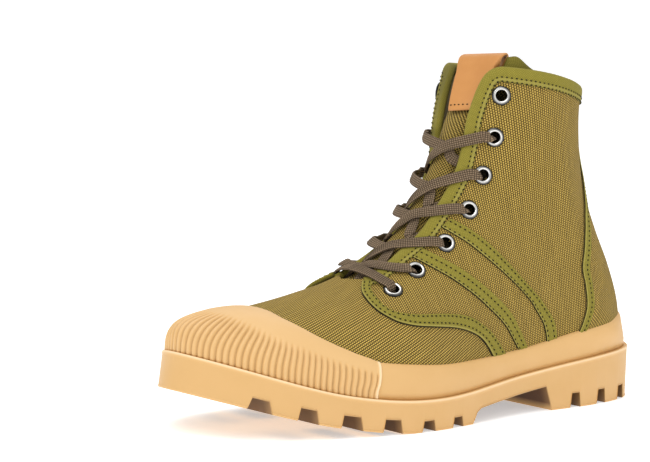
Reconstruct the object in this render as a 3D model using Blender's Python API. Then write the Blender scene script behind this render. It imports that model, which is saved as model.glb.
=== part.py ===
"""A canvas ankle boot for the left foot: rubber outsole with lugs, rubber foxing and ribbed toe cap, canvas
upper with a lacing throat, and the tapes, bands, eyelets and lace that are sewn or set on it.

Tables are in millimetres, measured from the back of the heel (x, towards the toe), from the line through the
heel and the ankle (y, towards the outer side) and from the floor (z). The objects are in metres, with the
origin under the middle of the sole.
"""

import bmesh
import bpy
import numpy as np
from mathutils import Vector
from mathutils.bvhtree import BVHTree
from mathutils.interpolate import poly_3d_calc

# Driving dimensions, in millimetres
MM = 0.001
GAP = 0.3
WALL = 2.0
OVERLAY_GAP = 0.55
OVERLAY_THICK = 0.9
COUNTER_GAP = 0.8
FOXING_INSET = 1.8
FOXING_TOP_THICK = 1.5
FOXING_GAP = 1.0
INSOLE_INSET = 10.4
INSOLE_THICK = 3.0
TONGUE_THICK = 1.6
TONGUE_DROP = 0.8
TONGUE_LAP = 9.0
TONGUE_TOP_LAP = 5.0
TAB_ROOM = 1.5
LUG_TAPER = 0.4
COLLAR_CROWN_OUTER = 2.6
COLLAR_CROWN_INNER = 6.0
TAPE_WIDTH = 7.0
BINDING_HEIGHT = 7.0
CAP_INSET = 1.7
CAP_GAP = 1.0
RIB_COUNT = 52
RIB_HEIGHT = 0.7
EYELET_HOLE = 2.5
EYELET_RADIUS = 4.7
EYELET_HEIGHT = 0.85
LACE_WIDTH = 5.5
LACE_THICK = 1.2
LACE_LIFT = 2.6
LACE_STAND_OFF = 4.6
LACE_DIP = -1.5
BADGE_RADIUS = 10.0
BADGE_THICK = 1.5
TAB_THICK = 1.5

# Sole outline at the rim: one row for each turning point, round from the heel by the outer side
SOLE_OUTLINE = (
    # place, x, y
    ("heel back", 0.0, 0.0),
    ("heel, outer", 10.0, 24.2),
    ("seat, outer", 42.0, 35.6),
    ("waist, outer", 100.0, 39.5),
    ("fifth joint", 165.0, 52.5),
    ("little toe", 210.0, 49.0),
    ("toe, outer", 256.0, 33.0),
    ("tip", 281.0, -5.0),
    ("toe, inner", 262.0, -37.5),
    ("first joint", 200.0, -48.0),
    ("waist, inner", 100.0, -31.0),
    ("seat, inner", 42.0, -35.0),
    ("heel, inner", 10.5, -25.0),
)
TIP_ROW = 7

# Heights along the sole: tread (toe spring), rim of the outsole, top of the foxing
SOLE_HEIGHTS = (
    # x, tread, rim, foxing
    (0.0, 0.0, 27.8, 46.0),
    (55.0, 0.0, 24.2, 40.0),
    (100.0, 0.0, 19.8, 34.2),
    (145.0, 0.0, 16.0, 32.2),
    (180.0, 0.0, 16.0, 33.4),
    (212.0, 3.7, 19.7, 36.6),
    (240.0, 9.5, 26.3, 40.5),
    (281.0, 21.5, 39.2, 46.0),
)

# Grooves between the lugs: middle along the sole, width at the tread and at the root, depth
LUG_GROOVES = (
    # x, wide, narrow, depth
    (256.8, 8.8, 6.2, 5.6),
    (236.8, 9.8, 7.4, 6.3),
    (215.0, 11.4, 8.8, 6.4),
    (193.0, 11.0, 8.6, 6.4),
    (171.2, 8.6, 6.4, 5.3),
    (150.5, 8.0, 6.0, 5.0),
    (58.8, 7.6, 5.6, 7.4),
    (38.2, 7.4, 5.6, 7.4),
    (19.0, 7.0, 5.4, 7.2),
)
GROOVE_REACH = 30.0
HEEL_GROOVE_REACH = 17.0

# Arch under the waist, as the corners of its side view from the forefoot's end to the heel breast
ARCH_CORNERS = (
    # x, z
    (139.0, -1.0),
    (136.8, 2.2),
    (135.0, 5.2),
    (131.5, 7.0),
    (114.0, 8.7),
    (80.5, 12.4),
    (75.4, -1.0),
)

# The last: one row for each section, from the toe to the collar. Each section lies in the plane through its
# top point (on the ridge) and its low point (under the foot, then up the back seam).
LAST = (
    # top_x, top_z, low_x, low_z, middle, outer, inner, widest, round_top, round_low
    (276.2, 39.6, 276.2, 39.2, -6.4, 0.0, 0.0, 0.75, 2.2, 3.0),
    (275.9, 43.0, 275.9, 26.0, -6.3, 5.5, 5.5, 0.75, 2.2, 3.0),
    (274.3, 47.0, 274.3, 25.0, -6.0, 10.5, 10.5, 0.75, 2.2, 3.0),
    (270.5, 50.5, 270.5, 23.5, -5.6, 17.2, 17.6, 0.75, 2.2, 3.0),
    (264.0, 53.2, 264.0, 21.0, -5.0, 25.0, 25.5, 0.74, 2.2, 3.0),
    (254.0, 55.4, 254.0, 18.0, -4.2, 33.0, 32.0, 0.74, 2.2, 3.2),
    (239.0, 57.2, 239.0, 14.5, -3.2, 39.8, 37.4, 0.74, 2.1, 3.2),
    (221.0, 60.2, 220.0, 10.5, -2.6, 44.6, 40.4, 0.75, 2.0, 3.2),
    (203.0, 63.9, 200.0, 8.0, -2.0, 48.2, 41.2, 0.76, 2.0, 3.2),
    (187.0, 68.0, 178.0, 7.0, -1.6, 50.0, 39.4, 0.77, 2.0, 3.2),
    (173.5, 74.0, 151.0, 7.0, -1.2, 48.2, 35.4, 0.76, 2.0, 3.2),
    (160.0, 83.5, 122.0, 9.0, -0.8, 41.8, 30.4, 0.72, 2.0, 3.8),
    (148.0, 95.0, 90.0, 11.0, -0.4, 36.4, 28.4, 0.66, 2.0, 4.2),
    (138.0, 108.5, 56.0, 13.0, 0.0, 34.0, 30.2, 0.60, 2.0, 4.4),
    (131.0, 120.0, 22.0, 17.0, 0.0, 33.2, 32.0, 0.56, 2.0, 4.4),
    (127.0, 127.5, 5.2, 28.1, 0.0, 33.0, 32.4, 0.54, 2.0, 2.3),
    (124.4, 134.0, 6.0, 44.0, 0.0, 32.8, 32.2, 0.53, 2.0, 2.1),
    (122.2, 140.5, 13.0, 61.5, 0.0, 32.6, 32.0, 0.52, 2.0, 2.05),
    (120.4, 147.0, 23.2, 79.0, 0.0, 32.4, 31.8, 0.52, 2.0, 2.05),
    (118.4, 153.5, 32.4, 98.0, 0.0, 32.4, 31.8, 0.51, 2.0, 2.05),
    (115.8, 160.5, 37.2, 118.5, 0.0, 32.4, 31.8, 0.50, 2.0, 2.05),
    (112.6, 167.5, 39.8, 141.0, 0.0, 32.2, 32.0, 0.50, 2.0, 2.05),
    (109.2, 174.0, 39.4, 159.7, 0.0, 32.0, 32.0, 0.50, 2.0, 2.05),
)
COLUMNS = ("top_x", "top_z", "low_x", "low_z", "middle", "outer", "inner", "widest", "round_top", "round_low")
HEEL_ROW = 15
COLLAR_ROW = len(LAST) - 1
CROWN_ROW = 17
TONGUE_ROWS = (8.8, 16.5, 18.5)

# Half widths of the throat, by row of the last: it starts at the vamp and flares at the collar's corners
THROAT = (
    # row, outer, inner
    (9.2, 0.0, 0.0),
    (9.45, 9.0, 7.2),
    (9.7, 11.3, 8.6),
    (10.0, 11.8, 9.2),
    (11.0, 11.4, 10.8),
    (12.0, 12.6, 12.4),
    (13.0, 12.3, 14.8),
    (14.0, 12.4, 15.6),
    (16.0, 12.0, 15.2),
    (18.3, 11.7, 13.8),
    (20.4, 13.0, 14.6),
    (21.5, 14.4, 15.4),
    (22.0, 18.6, 19.2),
)

# Lines on the outer side of the upper, as places on the last: row, and turn from the ridge in radians
EYELETS = (
    # row, turn
    (9.90, 0.550),
    (10.95, 0.576),
    (12.25, 0.654),
    (13.55, 0.672),
    (15.40, 0.654),
    (18.10, 0.742),
    (20.45, 0.768),
)
LACE_ROWS = (
    # crossing, row of the crossing on the ridge, row of the low ends
    (2, 10.20, 9.95),
    (3, 11.10, 10.50),
    (4, 12.37, 11.60),
    (5, 13.42, 12.60),
    (6, 15.95, 14.70),
)
FACING_ROWS = (9.72, 10.0, 10.5, 11.0, 11.5, 12.0, 12.5, 13.0, 13.5, 14.0, 15.0, 16.0, 17.0, 18.5, 20.0,
               20.88)
QUARTER_TAPE = (
    # low row, low turn, high row, high turn
    (9.38, 0.255, 9.62, 0.325),
    (9.16, 0.318, 9.40, 0.380),
    (8.97, 0.400, 9.26, 0.455),
    (8.88, 0.500, 9.20, 0.540),
    (8.85, 0.590, 9.19, 0.625),
    (8.90, 0.695, 9.24, 0.705),
    (9.03, 0.785, 9.36, 0.765),
    (9.25, 0.880, 9.62, 0.828),
    (9.62, 0.968, 9.95, 0.893),
    (10.18, 1.072, 10.43, 0.985),
    (10.72, 1.190, 10.95, 1.100),
    (11.05, 1.280, 11.28, 1.190),
    (11.25, 1.355, 11.50, 1.275),
    (11.38, 1.422, 11.64, 1.365),
    (11.45, 1.485, 11.75, 1.450),
    (11.48, 1.545, 11.80, 1.530),
)
FRONT_BAND = (
    # low row, low turn, high row, high turn
    (11.18, 0.460, 11.62, 0.490),
    (11.30, 0.610, 11.74, 0.620),
    (11.45, 0.750, 11.88, 0.755),
    (11.62, 0.890, 12.04, 0.890),
    (11.78, 1.030, 12.18, 1.030),
    (11.93, 1.170, 12.31, 1.170),
    (12.05, 1.310, 12.42, 1.310),
    (12.15, 1.430, 12.49, 1.430),
    (12.20, 1.530, 12.50, 1.535),
    (12.20, 1.590, 12.46, 1.600),
)
REAR_BAND = (
    # low row, low turn, high row, high turn
    (12.50, 0.525, 12.90, 0.565),
    (12.60, 0.680, 13.01, 0.690),
    (12.71, 0.820, 13.12, 0.825),
    (12.80, 0.960, 13.20, 0.960),
    (12.89, 1.100, 13.25, 1.100),
    (12.98, 1.240, 13.28, 1.240),
    (13.06, 1.380, 13.31, 1.380),
    (13.11, 1.500, 13.35, 1.500),
    (13.09, 1.580, 13.36, 1.585),
    (12.99, 1.645, 13.25, 1.660),
)
CAP_EDGE = (
    # row, turn
    (6.12, 0.000),
    (6.18, 0.260),
    (6.30, 0.524),
    (6.80, 0.864),
    (7.50, 1.100),
    (8.05, 1.222),
    (8.12, 1.242),
)
CAP_CENTRE = (214.0, -4.0, 24.0)
CAP_PROFILE = (
    # share of the way up, thickness, share of the rib's height
    (0.00, 2.8, 1.0),
    (0.20, 2.8, 1.0),
    (0.38, 2.9, 1.0),
    (0.55, 2.9, 0.9),
    (0.74, 2.8, 0.0),
    (1.00, 1.4, 0.0),
)

# Front edge of the heel counter: height, and how far round from the back seam it reaches
COUNTER_EDGE = (
    # z, x, y
    (41.8, 55.5, 33.0),
    (46.0, 52.6, 33.0),
    (53.0, 50.0, 33.0),
    (62.0, 51.4, 32.9),
    (71.0, 54.0, 32.8),
    (80.0, 53.0, 32.5),
    (88.0, 52.2, 32.2),
    (98.0, 50.6, 30.6),
    (106.0, 47.6, 26.5),
    (115.0, 44.2, 20.5),
    (126.0, 42.2, 15.0),
    (152.0, 41.2, 12.0),
)
COUNTER_AXIS_X = 66.0
COUNTER_FREE = 64.0

# Badge on the inner ankle, and the leather tab folded over the tongue's top
BADGE_X = 80.0
BADGE_Z = 118.0
TAB_FOLD = (
    # row, lift, inner end, outer end: up the front, over and down behind the tongue
    (18.70, -3.15, -1.0, 20.0),
    (19.70, -3.15, -2.8, 20.3),
    (20.70, -3.15, -4.6, 20.6),
    (21.60, -3.15, -6.4, 20.8),
    (22.30, -2.60, -7.8, 20.8),
    (22.85, -3.00, -8.8, 20.6),
    (23.10, -5.20, -9.2, 20.4),
    (22.85, -7.60, -8.8, 20.2),
    (22.20, -8.20, -7.6, 20.0),
    (21.40, -8.00, -6.0, 19.6),
)

# Colour, roughness and metal share of each finish
FINISHES = {
    "canvas": ((0.235, 0.185, 0.055), 0.9, 0.0),
    "tape": ((0.215, 0.205, 0.045), 0.85, 0.0),
    "rubber": ((0.78, 0.48, 0.2), 0.55, 0.0),
    "lining": ((0.30, 0.24, 0.12), 0.9, 0.0),
    "leather": ((0.62, 0.30, 0.12), 0.6, 0.0),
    "badge leather": ((0.28, 0.09, 0.04), 0.6, 0.0),
    "metal": ((0.6, 0.6, 0.58), 0.35, 1.0),
    "lace": ((0.13, 0.095, 0.06), 0.85, 0.0),
}

# Mesh density, and small steps for slopes and merging
SMALL = 0.001
MERGE = 0.01 * MM
SAMPLES = 240
CURVE_STEPS = 40
RAY_START = 30.0
CUTTER_REACH = 80.0
CUTTER_DROP = 2.0
FORM_ROWS = 120
FORM_STEPS = 40
FOXING_STEPS = 34
COUNTER_STEPS = 15
BINDING_STEPS = 13
OUTLINE_STEPS = 58
ROW_STEP = 20.0
SIDE_STEPS = 12


def clear_scene():
    """Removes every object that the scene holds."""
    for old in list(bpy.data.objects):
        bpy.data.objects.remove(old, do_unlink=True)


def material(name, finish):
    """A Principled material of one colour for the named piece."""
    colour, roughness, metallic = FINISHES[finish]
    made = bpy.data.materials.new(name + " " + finish)
    made.use_nodes = True
    shader = made.node_tree.nodes["Principled BSDF"]
    shader.inputs["Base Color"].default_value = (*colour, 1.0)
    shader.inputs["Roughness"].default_value = roughness
    shader.inputs["Metallic"].default_value = metallic
    return made


def smooth_rows(rows, at):
    """Values between the rows of a table, on a Hermite curve through them; whole numbers give the rows."""
    rows = np.asarray(rows, float)
    at = np.clip(np.asarray(at, float), 0.0, len(rows) - 1.0)
    slope = np.gradient(rows, axis=0)
    first = np.minimum(at.astype(int), len(rows) - 2)
    t = (at - first)[..., None]
    ends = rows[first], rows[first + 1]
    slopes = slope[first], slope[first + 1]
    return (
        (2 * t**3 - 3 * t**2 + 1) * ends[0]
        + (t**3 - 2 * t**2 + t) * slopes[0]
        + (3 * t**2 - 2 * t**3) * ends[1]
        + (t**3 - t**2) * slopes[1]
    )


def unit(vectors):
    """Vectors at length 1."""
    return vectors / np.linalg.norm(vectors, axis=-1, keepdims=True)


def closed_curve(points, steps):
    """A closed curve through the points, with this many steps between each pair, spaced by chord."""
    points = np.asarray(points, float)
    before, after = np.roll(points, 1, axis=0), np.roll(points, -1, axis=0)
    chord = np.linalg.norm(after - points, axis=1)
    behind = np.roll(chord, 1)
    slope = (after - before) / (chord + behind)[:, None]
    t = np.arange(steps)[:, None, None] / steps
    span = chord[None, :, None]
    curve = (
        (2 * t**3 - 3 * t**2 + 1) * points
        + (t**3 - 2 * t**2 + t) * slope * span
        + (3 * t**2 - 2 * t**3) * after
        + (t**3 - t**2) * np.roll(slope, -1, axis=0) * span
    )
    return curve.transpose(1, 0, 2).reshape(-1, 2)


def even(points, count):
    """A polyline read again at this many points, evenly spaced along it."""
    points = np.asarray(points, float)
    steps = np.linalg.norm(np.diff(points, axis=0), axis=1)
    along = np.concatenate([[0.0], np.cumsum(steps)])
    wanted = np.linspace(0.0, along[-1], count)
    return np.stack([np.interp(wanted, along, points[:, k]) for k in range(points.shape[1])], axis=1)


def sole_sides(inset, count):
    """The outer and the inner side of the sole outline from heel to tip, moved inwards by the inset."""
    curve = closed_curve([row[1:] for row in SOLE_OUTLINE], CURVE_STEPS)
    ahead = np.roll(curve, -1, axis=0) - np.roll(curve, 1, axis=0)
    inwards = unit(np.stack([ahead[:, 1], -ahead[:, 0]], axis=1))
    moved = curve + inwards * inset
    tip = TIP_ROW * CURVE_STEPS
    outer = moved[: tip + 1]
    inner = np.concatenate([moved[tip:], moved[:1]])[::-1]
    return even(outer, count), even(inner, count)


def sole_height(x, column):
    """Height of the tread, rim or foxing at x, on a curve through the table of heights."""
    table = np.array(SOLE_HEIGHTS)
    fine = smooth_rows(table[:, [0, column]], np.linspace(0, len(table) - 1, SAMPLES))
    return np.interp(x, fine[:, 0], np.maximum(fine[:, 1], 0.0))


TREAD, RIM, FOXING_TOP = 1, 2, 3


def origin_shift():
    """The point under the middle of the sole's box, which becomes the origin."""
    curve = closed_curve([row[1:] for row in SOLE_OUTLINE], CURVE_STEPS)
    middle = (curve.min(axis=0) + curve.max(axis=0)) / 2
    return np.array([middle[0], middle[1], 0.0])


ORIGIN = origin_shift()


def make_object(name, points, faces, finish, merge=0.0):
    """A mesh object from points in millimetres and faces, with its material, its doubles merged."""
    mesh = bpy.data.meshes.new(name)
    placed = (np.asarray(points, float) - ORIGIN) * MM
    mesh.from_pydata(placed.tolist(), [], [list(face) for face in faces])
    if merge:
        edit = bmesh.new()
        edit.from_mesh(mesh)
        bmesh.ops.remove_doubles(edit, verts=edit.verts, dist=merge)
        bmesh.ops.dissolve_degenerate(edit, edges=edit.edges, dist=merge)
        edit.to_mesh(mesh)
        edit.free()
    mesh.materials.append(material(name, finish))
    mesh.shade_smooth()
    mesh.set_sharp_from_angle(angle=np.radians(40.0))
    made = bpy.data.objects.new(name, mesh)
    bpy.context.scene.collection.objects.link(made)
    return made


def grid_faces(rows, columns, start=0, flip=False, close=False):
    """Quads over a grid of points stored row by row; close joins the last column to the first."""
    faces = []
    last = columns if close else columns - 1
    for i in range(rows - 1):
        for j in range(last):
            k = (j + 1) % columns
            quad = (start + i * columns + j, start + i * columns + k, start + (i + 1) * columns + k,
                    start + (i + 1) * columns + j)
            faces.append(quad[::-1] if flip else quad)
    return faces


def ring_solid(name, rings, finish, close=False):
    """A closed solid from rings of points, one ring for each station along it, with capped or joined ends."""
    rings = np.asarray(rings, float)
    stations, around = rings.shape[:2]
    points = rings.reshape(-1, 3)
    faces = grid_faces(stations, around, close=True)
    if close:
        last = (stations - 1) * around
        for j in range(around):
            k = (j + 1) % around
            faces.append((last + j, last + k, k, j))
    else:
        faces.append(tuple(range(around))[::-1])
        faces.append(tuple((stations - 1) * around + j for j in range(around)))
    made = make_object(name, points, faces, finish)
    face_out(made)
    return made


def face_out(item):
    """Turns a closed mesh's faces outwards."""
    edit = bmesh.new()
    edit.from_mesh(item.data)
    bmesh.ops.recalc_face_normals(edit, faces=edit.faces)
    edit.to_mesh(item.data)
    edit.free()


def cut(item, cutter):
    """Takes the cutter's shape out of the item and keeps the cutter as a hidden guide."""
    cutter.hide_render = True
    cutter.display_type = "WIRE"
    step = item.modifiers.new("cut " + cutter.name, "BOOLEAN")
    step.operation = "DIFFERENCE"
    step.solver = "EXACT"
    step.object = cutter


def last_row(at):
    """The sizes of the last's section at a row number, as named values."""
    return dict(zip(COLUMNS, np.moveaxis(smooth_rows(LAST, at), -1, 0)))


def last_point(at, turn, side):
    """A point of the last: the row number, the turn from the ridge (0) to the low point (pi), and the side,
    1 outer or -1 inner. Each quarter of a section is a superellipse about its widest place."""
    row = last_row(at)
    half = np.where(side > 0, row["outer"], row["inner"])
    upper = turn <= np.pi / 2
    power = 2.0 / np.where(upper, row["round_top"], row["round_low"])
    across = np.abs(np.sin(turn)) ** power
    along = np.abs(np.cos(turn)) ** power
    down = np.where(upper, row["widest"] * (1 - along), row["widest"] + (1 - row["widest"]) * along)
    x = row["top_x"] + (row["low_x"] - row["top_x"]) * down
    crown = np.where(side > 0, COLLAR_CROWN_OUTER, COLLAR_CROWN_INNER * np.clip(turn / 2, 0.0, 1.0))
    crown = crown * np.clip((at - CROWN_ROW) / (COLLAR_ROW - CROWN_ROW), 0.0, 1.2) ** 2
    z = row["top_z"] + (row["low_z"] - row["top_z"]) * down + crown * across**2
    return np.stack(np.broadcast_arrays(x, row["middle"] + side * half * across, z), axis=-1)


def turn_at(at, offset, side):
    """The turn at which a section is this far from its ridge, measured across the boot."""
    row = last_row(at)
    half = np.maximum(np.where(side > 0, row["outer"], row["inner"]), SMALL)
    return np.arcsin(np.clip(offset / half, 0.0, 1.0) ** (row["round_top"] / 2.0))


def last_normal(at, turn, side):
    """The direction out of the last at a point, from two small steps over it."""
    along = last_point(at + SMALL, turn, side) - last_point(at - SMALL, turn, side)
    round_it = last_point(at, turn + SMALL, side) - last_point(at, turn - SMALL, side)
    return unit(np.cross(round_it, along) * np.asarray(side)[..., None])


def throat_half(at, side):
    """Half width of the throat on a side at a row number."""
    table = np.array(THROAT)
    return np.interp(at, table[:, 0], table[:, 1] if side > 0 else table[:, 2], left=0.0)


def edge_turns(at, side, distances):
    """Turns on a section at these distances from the throat's edge, measured over the surface."""
    first = float(turn_at(at, throat_half(at, side), side))
    fine = np.linspace(first, first + np.pi / 2, SAMPLES)
    line = last_point(np.full(SAMPLES, at), fine, np.full(SAMPLES, side))
    along = np.concatenate([[0.0], np.cumsum(np.linalg.norm(np.diff(line, axis=0), axis=1))])
    return np.interp(distances, along, fine)


def section_rows():
    """Row numbers of the upper's mesh: every row of the table, even steps between, and the throat's start."""
    rows = [0.0]
    for k in range(len(LAST) - 1):
        if k == int(THROAT[0][0]):
            rows.extend([row[0] for row in THROAT[:4]])
            continue
        top = LAST[k + 1][0] - LAST[k][0], LAST[k + 1][1] - LAST[k][1]
        low = LAST[k + 1][2] - LAST[k][2], LAST[k + 1][3] - LAST[k][3]
        longest = max(np.hypot(*top), np.hypot(*low))
        parts = int(np.ceil(longest / ROW_STEP))
        rows.extend(k + (np.arange(parts) + 1) / parts)
    return np.array(rows)


def upper_sides(rows, steps):
    """Both sides of the upper as grids of points: from the throat or the ridge to the feather edge, and at
    the back to the back seam."""
    grids = []
    for side in (1, -1):
        grid = []
        for at in rows:
            first = float(turn_at(at, throat_half(at, side), side))
            fine = np.linspace(first, np.pi, SAMPLES)
            line = last_point(np.full(SAMPLES, at), fine, np.full(SAMPLES, side))
            if at < HEEL_ROW:
                above = line[:, 2] - (sole_height(line[:, 0], RIM) + GAP)
                inside = np.where((above < 0) & (np.arange(SAMPLES) > SAMPLES // 10))[0]
                if len(inside):
                    k = inside[0]
                    share = above[k - 1] / (above[k - 1] - above[k])
                    line = np.vstack([line[:k], line[k - 1] + (line[k] - line[k - 1]) * share])
            grid.append(even(line, steps + 1))
        grids.append(np.array(grid))
    return grids


def upper_mesh(rows, steps):
    """Points and faces of the upper's outer face, both sides."""
    grids = upper_sides(rows, steps)
    points = np.concatenate([grid.reshape(-1, 3) for grid in grids])
    count = len(rows) * (steps + 1)
    faces = grid_faces(len(rows), steps + 1)
    faces += grid_faces(len(rows), steps + 1, start=count, flip=True)
    return points, faces


def make_upper(finish):
    """The canvas upper: the last's surface between throat, collar and feather edge, with its wall inside."""
    points, faces = upper_mesh(section_rows(), SIDE_STEPS)
    made = make_object("upper", points, faces, finish, merge=MERGE)
    edit = bmesh.new()
    edit.from_mesh(made.data)
    bmesh.ops.triangulate(edit, faces=edit.faces, quad_method="SHORT_EDGE")
    edit.to_mesh(made.data)
    edit.free()
    wall = made.modifiers.new("wall", "SOLIDIFY")
    wall.thickness = WALL * MM
    wall.offset = -1.0
    return made


def make_outsole(finish):
    """The outsole: ruled from side to side at each station, with its arch and lug grooves cut out."""
    outer, inner = sole_sides(0.0, OUTLINE_STEPS)
    low_outer, low_inner = sole_sides(LUG_TAPER, OUTLINE_STEPS)
    rings = []
    for k in range(1, OUTLINE_STEPS - 1):
        rings.append([
            (*low_outer[k], sole_height(low_outer[k][0], TREAD)),
            (*outer[k], sole_height(outer[k][0], RIM)),
            (*inner[k], sole_height(inner[k][0], RIM)),
            (*low_inner[k], sole_height(low_inner[k][0], TREAD)),
        ])
    rings = np.array(rings)
    stations = len(rings)
    points = rings.reshape(-1, 3).tolist()
    faces = grid_faces(stations, 4, close=True)
    for k, place, base in ((0, outer[0], low_outer[0]), (OUTLINE_STEPS - 1, outer[-1], low_outer[-1])):
        start = len(points)
        points.append((*base, sole_height(base[0], TREAD)))
        points.append((*place, sole_height(place[0], RIM)))
        first = 0 if k == 0 else (stations - 1) * 4
        fan = [(first, first + 1, start + 1, start), (first + 1, first + 2, start + 1),
               (first + 2, first + 3, start, start + 1), (first + 3, first, start)]
        faces.extend(face if k == 0 else face[::-1] for face in fan)
    made = make_object("outsole", points, faces, finish)
    face_out(made)
    for number, groove in enumerate(groove_shapes()):
        cut(made, make_cutter("groove_cutter_%d" % number, groove, finish))
    arch = np.array(ARCH_CORNERS)
    cut(made, make_cutter("arch_cutter", [arch[:, 0], CUTTER_REACH, -CUTTER_REACH, arch[:, 1]], finish))
    return made


def groove_shapes():
    """Side views and reaches of the lug grooves: the forefoot's from each side, the heel's too."""
    shapes = []
    for x, wide, narrow, depth in LUG_GROOVES:
        tread = float(sole_height(x, TREAD))
        slope = float(sole_height(x + 1, TREAD) - sole_height(x - 1, TREAD)) / 2
        flare = (wide + (wide - narrow) * CUTTER_DROP / depth) / 2
        corners = np.array([(-flare, -CUTTER_DROP), (-narrow / 2, depth), (narrow / 2, depth),
                            (flare, -CUTTER_DROP)])
        places = x + corners[:, 0]
        heights = tread + corners[:, 1] + slope * corners[:, 0]
        reach = GROOVE_REACH if x > ARCH_CORNERS[0][0] else HEEL_GROOVE_REACH
        outer, inner = sole_sides(0.0, SAMPLES)
        y_outer = np.interp(x, outer[:, 0], outer[:, 1])
        y_inner = np.interp(x, inner[:, 0], inner[:, 1])
        shapes.append([places, CUTTER_REACH, y_outer - reach, heights])
        shapes.append([places, y_inner + reach, -CUTTER_REACH, heights])
    return shapes


def make_cutter(name, shape, finish):
    """A prism across the boot: side view corners, and its two ends across."""
    places, high, low, heights = shape
    rings = [np.stack([places, np.full(len(places), y), heights], axis=1) for y in (high, low)]
    return ring_solid(name, rings, finish)


def make_insole(finish):
    """The insole: a plate on the outsole's deck, inside the upper."""
    outer, inner = sole_sides(INSOLE_INSET, 28)
    rings = []
    for a, b in zip(outer[1:-1], inner[1:-1]):
        low_a, low_b = sole_height(a[0], RIM) + GAP, sole_height(b[0], RIM) + GAP
        rings.append([(*a, low_a), (*a, low_a + INSOLE_THICK), (*b, low_b + INSOLE_THICK), (*b, low_b)])
    return ring_solid("insole", rings, finish)


def tongue_sheet(drop, columns):
    """Points of the tongue's face: the last's surface between lines under the facings, dropped inwards, with
    room for the tab higher up."""
    foot, tab_foot, tab_end = TONGUE_ROWS
    sheet = []
    for at in np.linspace(foot, COLLAR_ROW, 15):
        lap = np.interp(at, (tab_end, COLLAR_ROW), (TONGUE_LAP, TONGUE_TOP_LAP))
        steady = max(at, THROAT[3][0])
        across = np.linspace(-throat_half(steady, -1) - lap, throat_half(steady, 1) + lap, columns)
        room = np.interp(at, (tab_foot, tab_end), (0.0, TAB_ROOM))
        sheet.append(over_last(np.full(columns, at), across, -drop - room))
    return np.array(sheet)


def over_last(at, across, lift):
    """A point off the last: row number, distance from the ridge (outer side positive), and height above the
    surface. Rows past the collar carry on straight up from it."""
    at = np.asarray(at, float)
    across = np.asarray(across, float)
    side = np.where(across >= 0, 1, -1)
    low = np.minimum(at, COLLAR_ROW - SMALL)
    turn = np.maximum(turn_at(low, np.abs(across), side), SMALL)
    point = last_point(low, turn, side)
    rise = point - last_point(low - 1.0, turn, side)
    return point + rise * (at - low)[..., None] + last_normal(low, turn, side) * np.asarray(lift)[..., None]


def make_tongue(finish):
    """The tongue: a sheet under the throat, from the vamp to the collar."""
    columns = 7
    top = tongue_sheet(WALL + TONGUE_DROP, columns)
    low = tongue_sheet(WALL + TONGUE_DROP + TONGUE_THICK, columns)
    rings = [np.concatenate([a, b[::-1]]) for a, b in zip(top, low)]
    return ring_solid("tongue", rings, finish)


class Form:
    """The upper's outer face, finely divided, as a form to lay pieces on."""

    def __init__(self):
        rows = np.union1d(np.linspace(0, COLLAR_ROW, FORM_ROWS), [row[0] for row in THROAT])
        points, faces = upper_mesh(rows, FORM_STEPS)
        mesh = bpy.data.meshes.new("form")
        mesh.from_pydata(((points - ORIGIN) * MM).tolist(), [], faces)
        edit = bmesh.new()
        edit.from_mesh(mesh)
        bmesh.ops.remove_doubles(edit, verts=edit.verts, dist=MERGE)
        edit.normal_update()
        edit.verts.index_update()
        self.corners = [vertex.co.copy() for vertex in edit.verts]
        self.normals = [vertex.normal.copy() for vertex in edit.verts]
        self.faces = [tuple(vertex.index for vertex in face.verts) for face in edit.faces]
        self.tree = BVHTree.FromPolygons(self.corners, self.faces)
        edit.free()
        bpy.data.meshes.remove(mesh)

    def meet(self, start, towards, lift):
        """Where a ray meets the face, in millimetres, raised along the smooth normal."""
        origin = Vector((np.asarray(start, float) - ORIGIN) * MM)
        place, _, face, _ = self.tree.ray_cast(origin, Vector(towards))
        if place is None:
            raise ValueError("no face of the upper from %s towards %s" % (start, towards))
        around = self.faces[face]
        weights = poly_3d_calc([self.corners[k] for k in around], place)
        normal = Vector((0.0, 0.0, 0.0))
        for k, weight in zip(around, weights):
            normal += self.normals[k] * weight
        raised = place + normal.normalized() * lift * MM
        return np.array(raised) / MM + ORIGIN


def make_foxing(form, finish):
    """The foxing: a band from one end of the toe cap round the heel to the other, on the outsole's rim."""
    sides = []
    for line in sole_sides(FOXING_INSET, SAMPLES):
        keep = line[line[:, 0] < foxing_end()]
        sides.append(even(keep, FOXING_STEPS))
    line = np.concatenate([sides[0][::-1], sides[1][1:]])
    ahead = unit(np.gradient(line, axis=0))
    outwards = np.stack([ahead[:, 1], -ahead[:, 0]], axis=1)
    rings = []
    for place, out in zip(line, outwards):
        base = float(sole_height(place[0], RIM)) + GAP
        tall = float(sole_height(place[0], FOXING_TOP)) - base
        direction = np.array([*out, 0.0])
        inner = []
        for share in (0.08, 0.5, 0.93):
            start = np.array([*(place + out * RAY_START), base + tall * share])
            hit = form.meet(start, -direction, 0.0)
            inner.append(hit + direction * FOXING_GAP)
        low = np.array([*inner[0][:2], base])
        foot = np.array([*place, base])
        reach = np.dot(foot - low, direction)
        middle = inner[1] + direction * (reach + FOXING_TOP_THICK) / 2
        head = inner[2] + direction * FOXING_TOP_THICK
        crown = inner[2] + direction * FOXING_TOP_THICK * 0.5
        crown[2] = base + tall
        rings.append([foot, middle, head, crown, inner[2], inner[1], low])
    return ring_solid("foxing", rings, finish)


def foxing_end():
    """Where the foxing meets the toe cap's end, along the boot."""
    row, turn = CAP_EDGE[-1]
    return float(last_point(row, turn, 1)[0]) - 2.2


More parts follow.
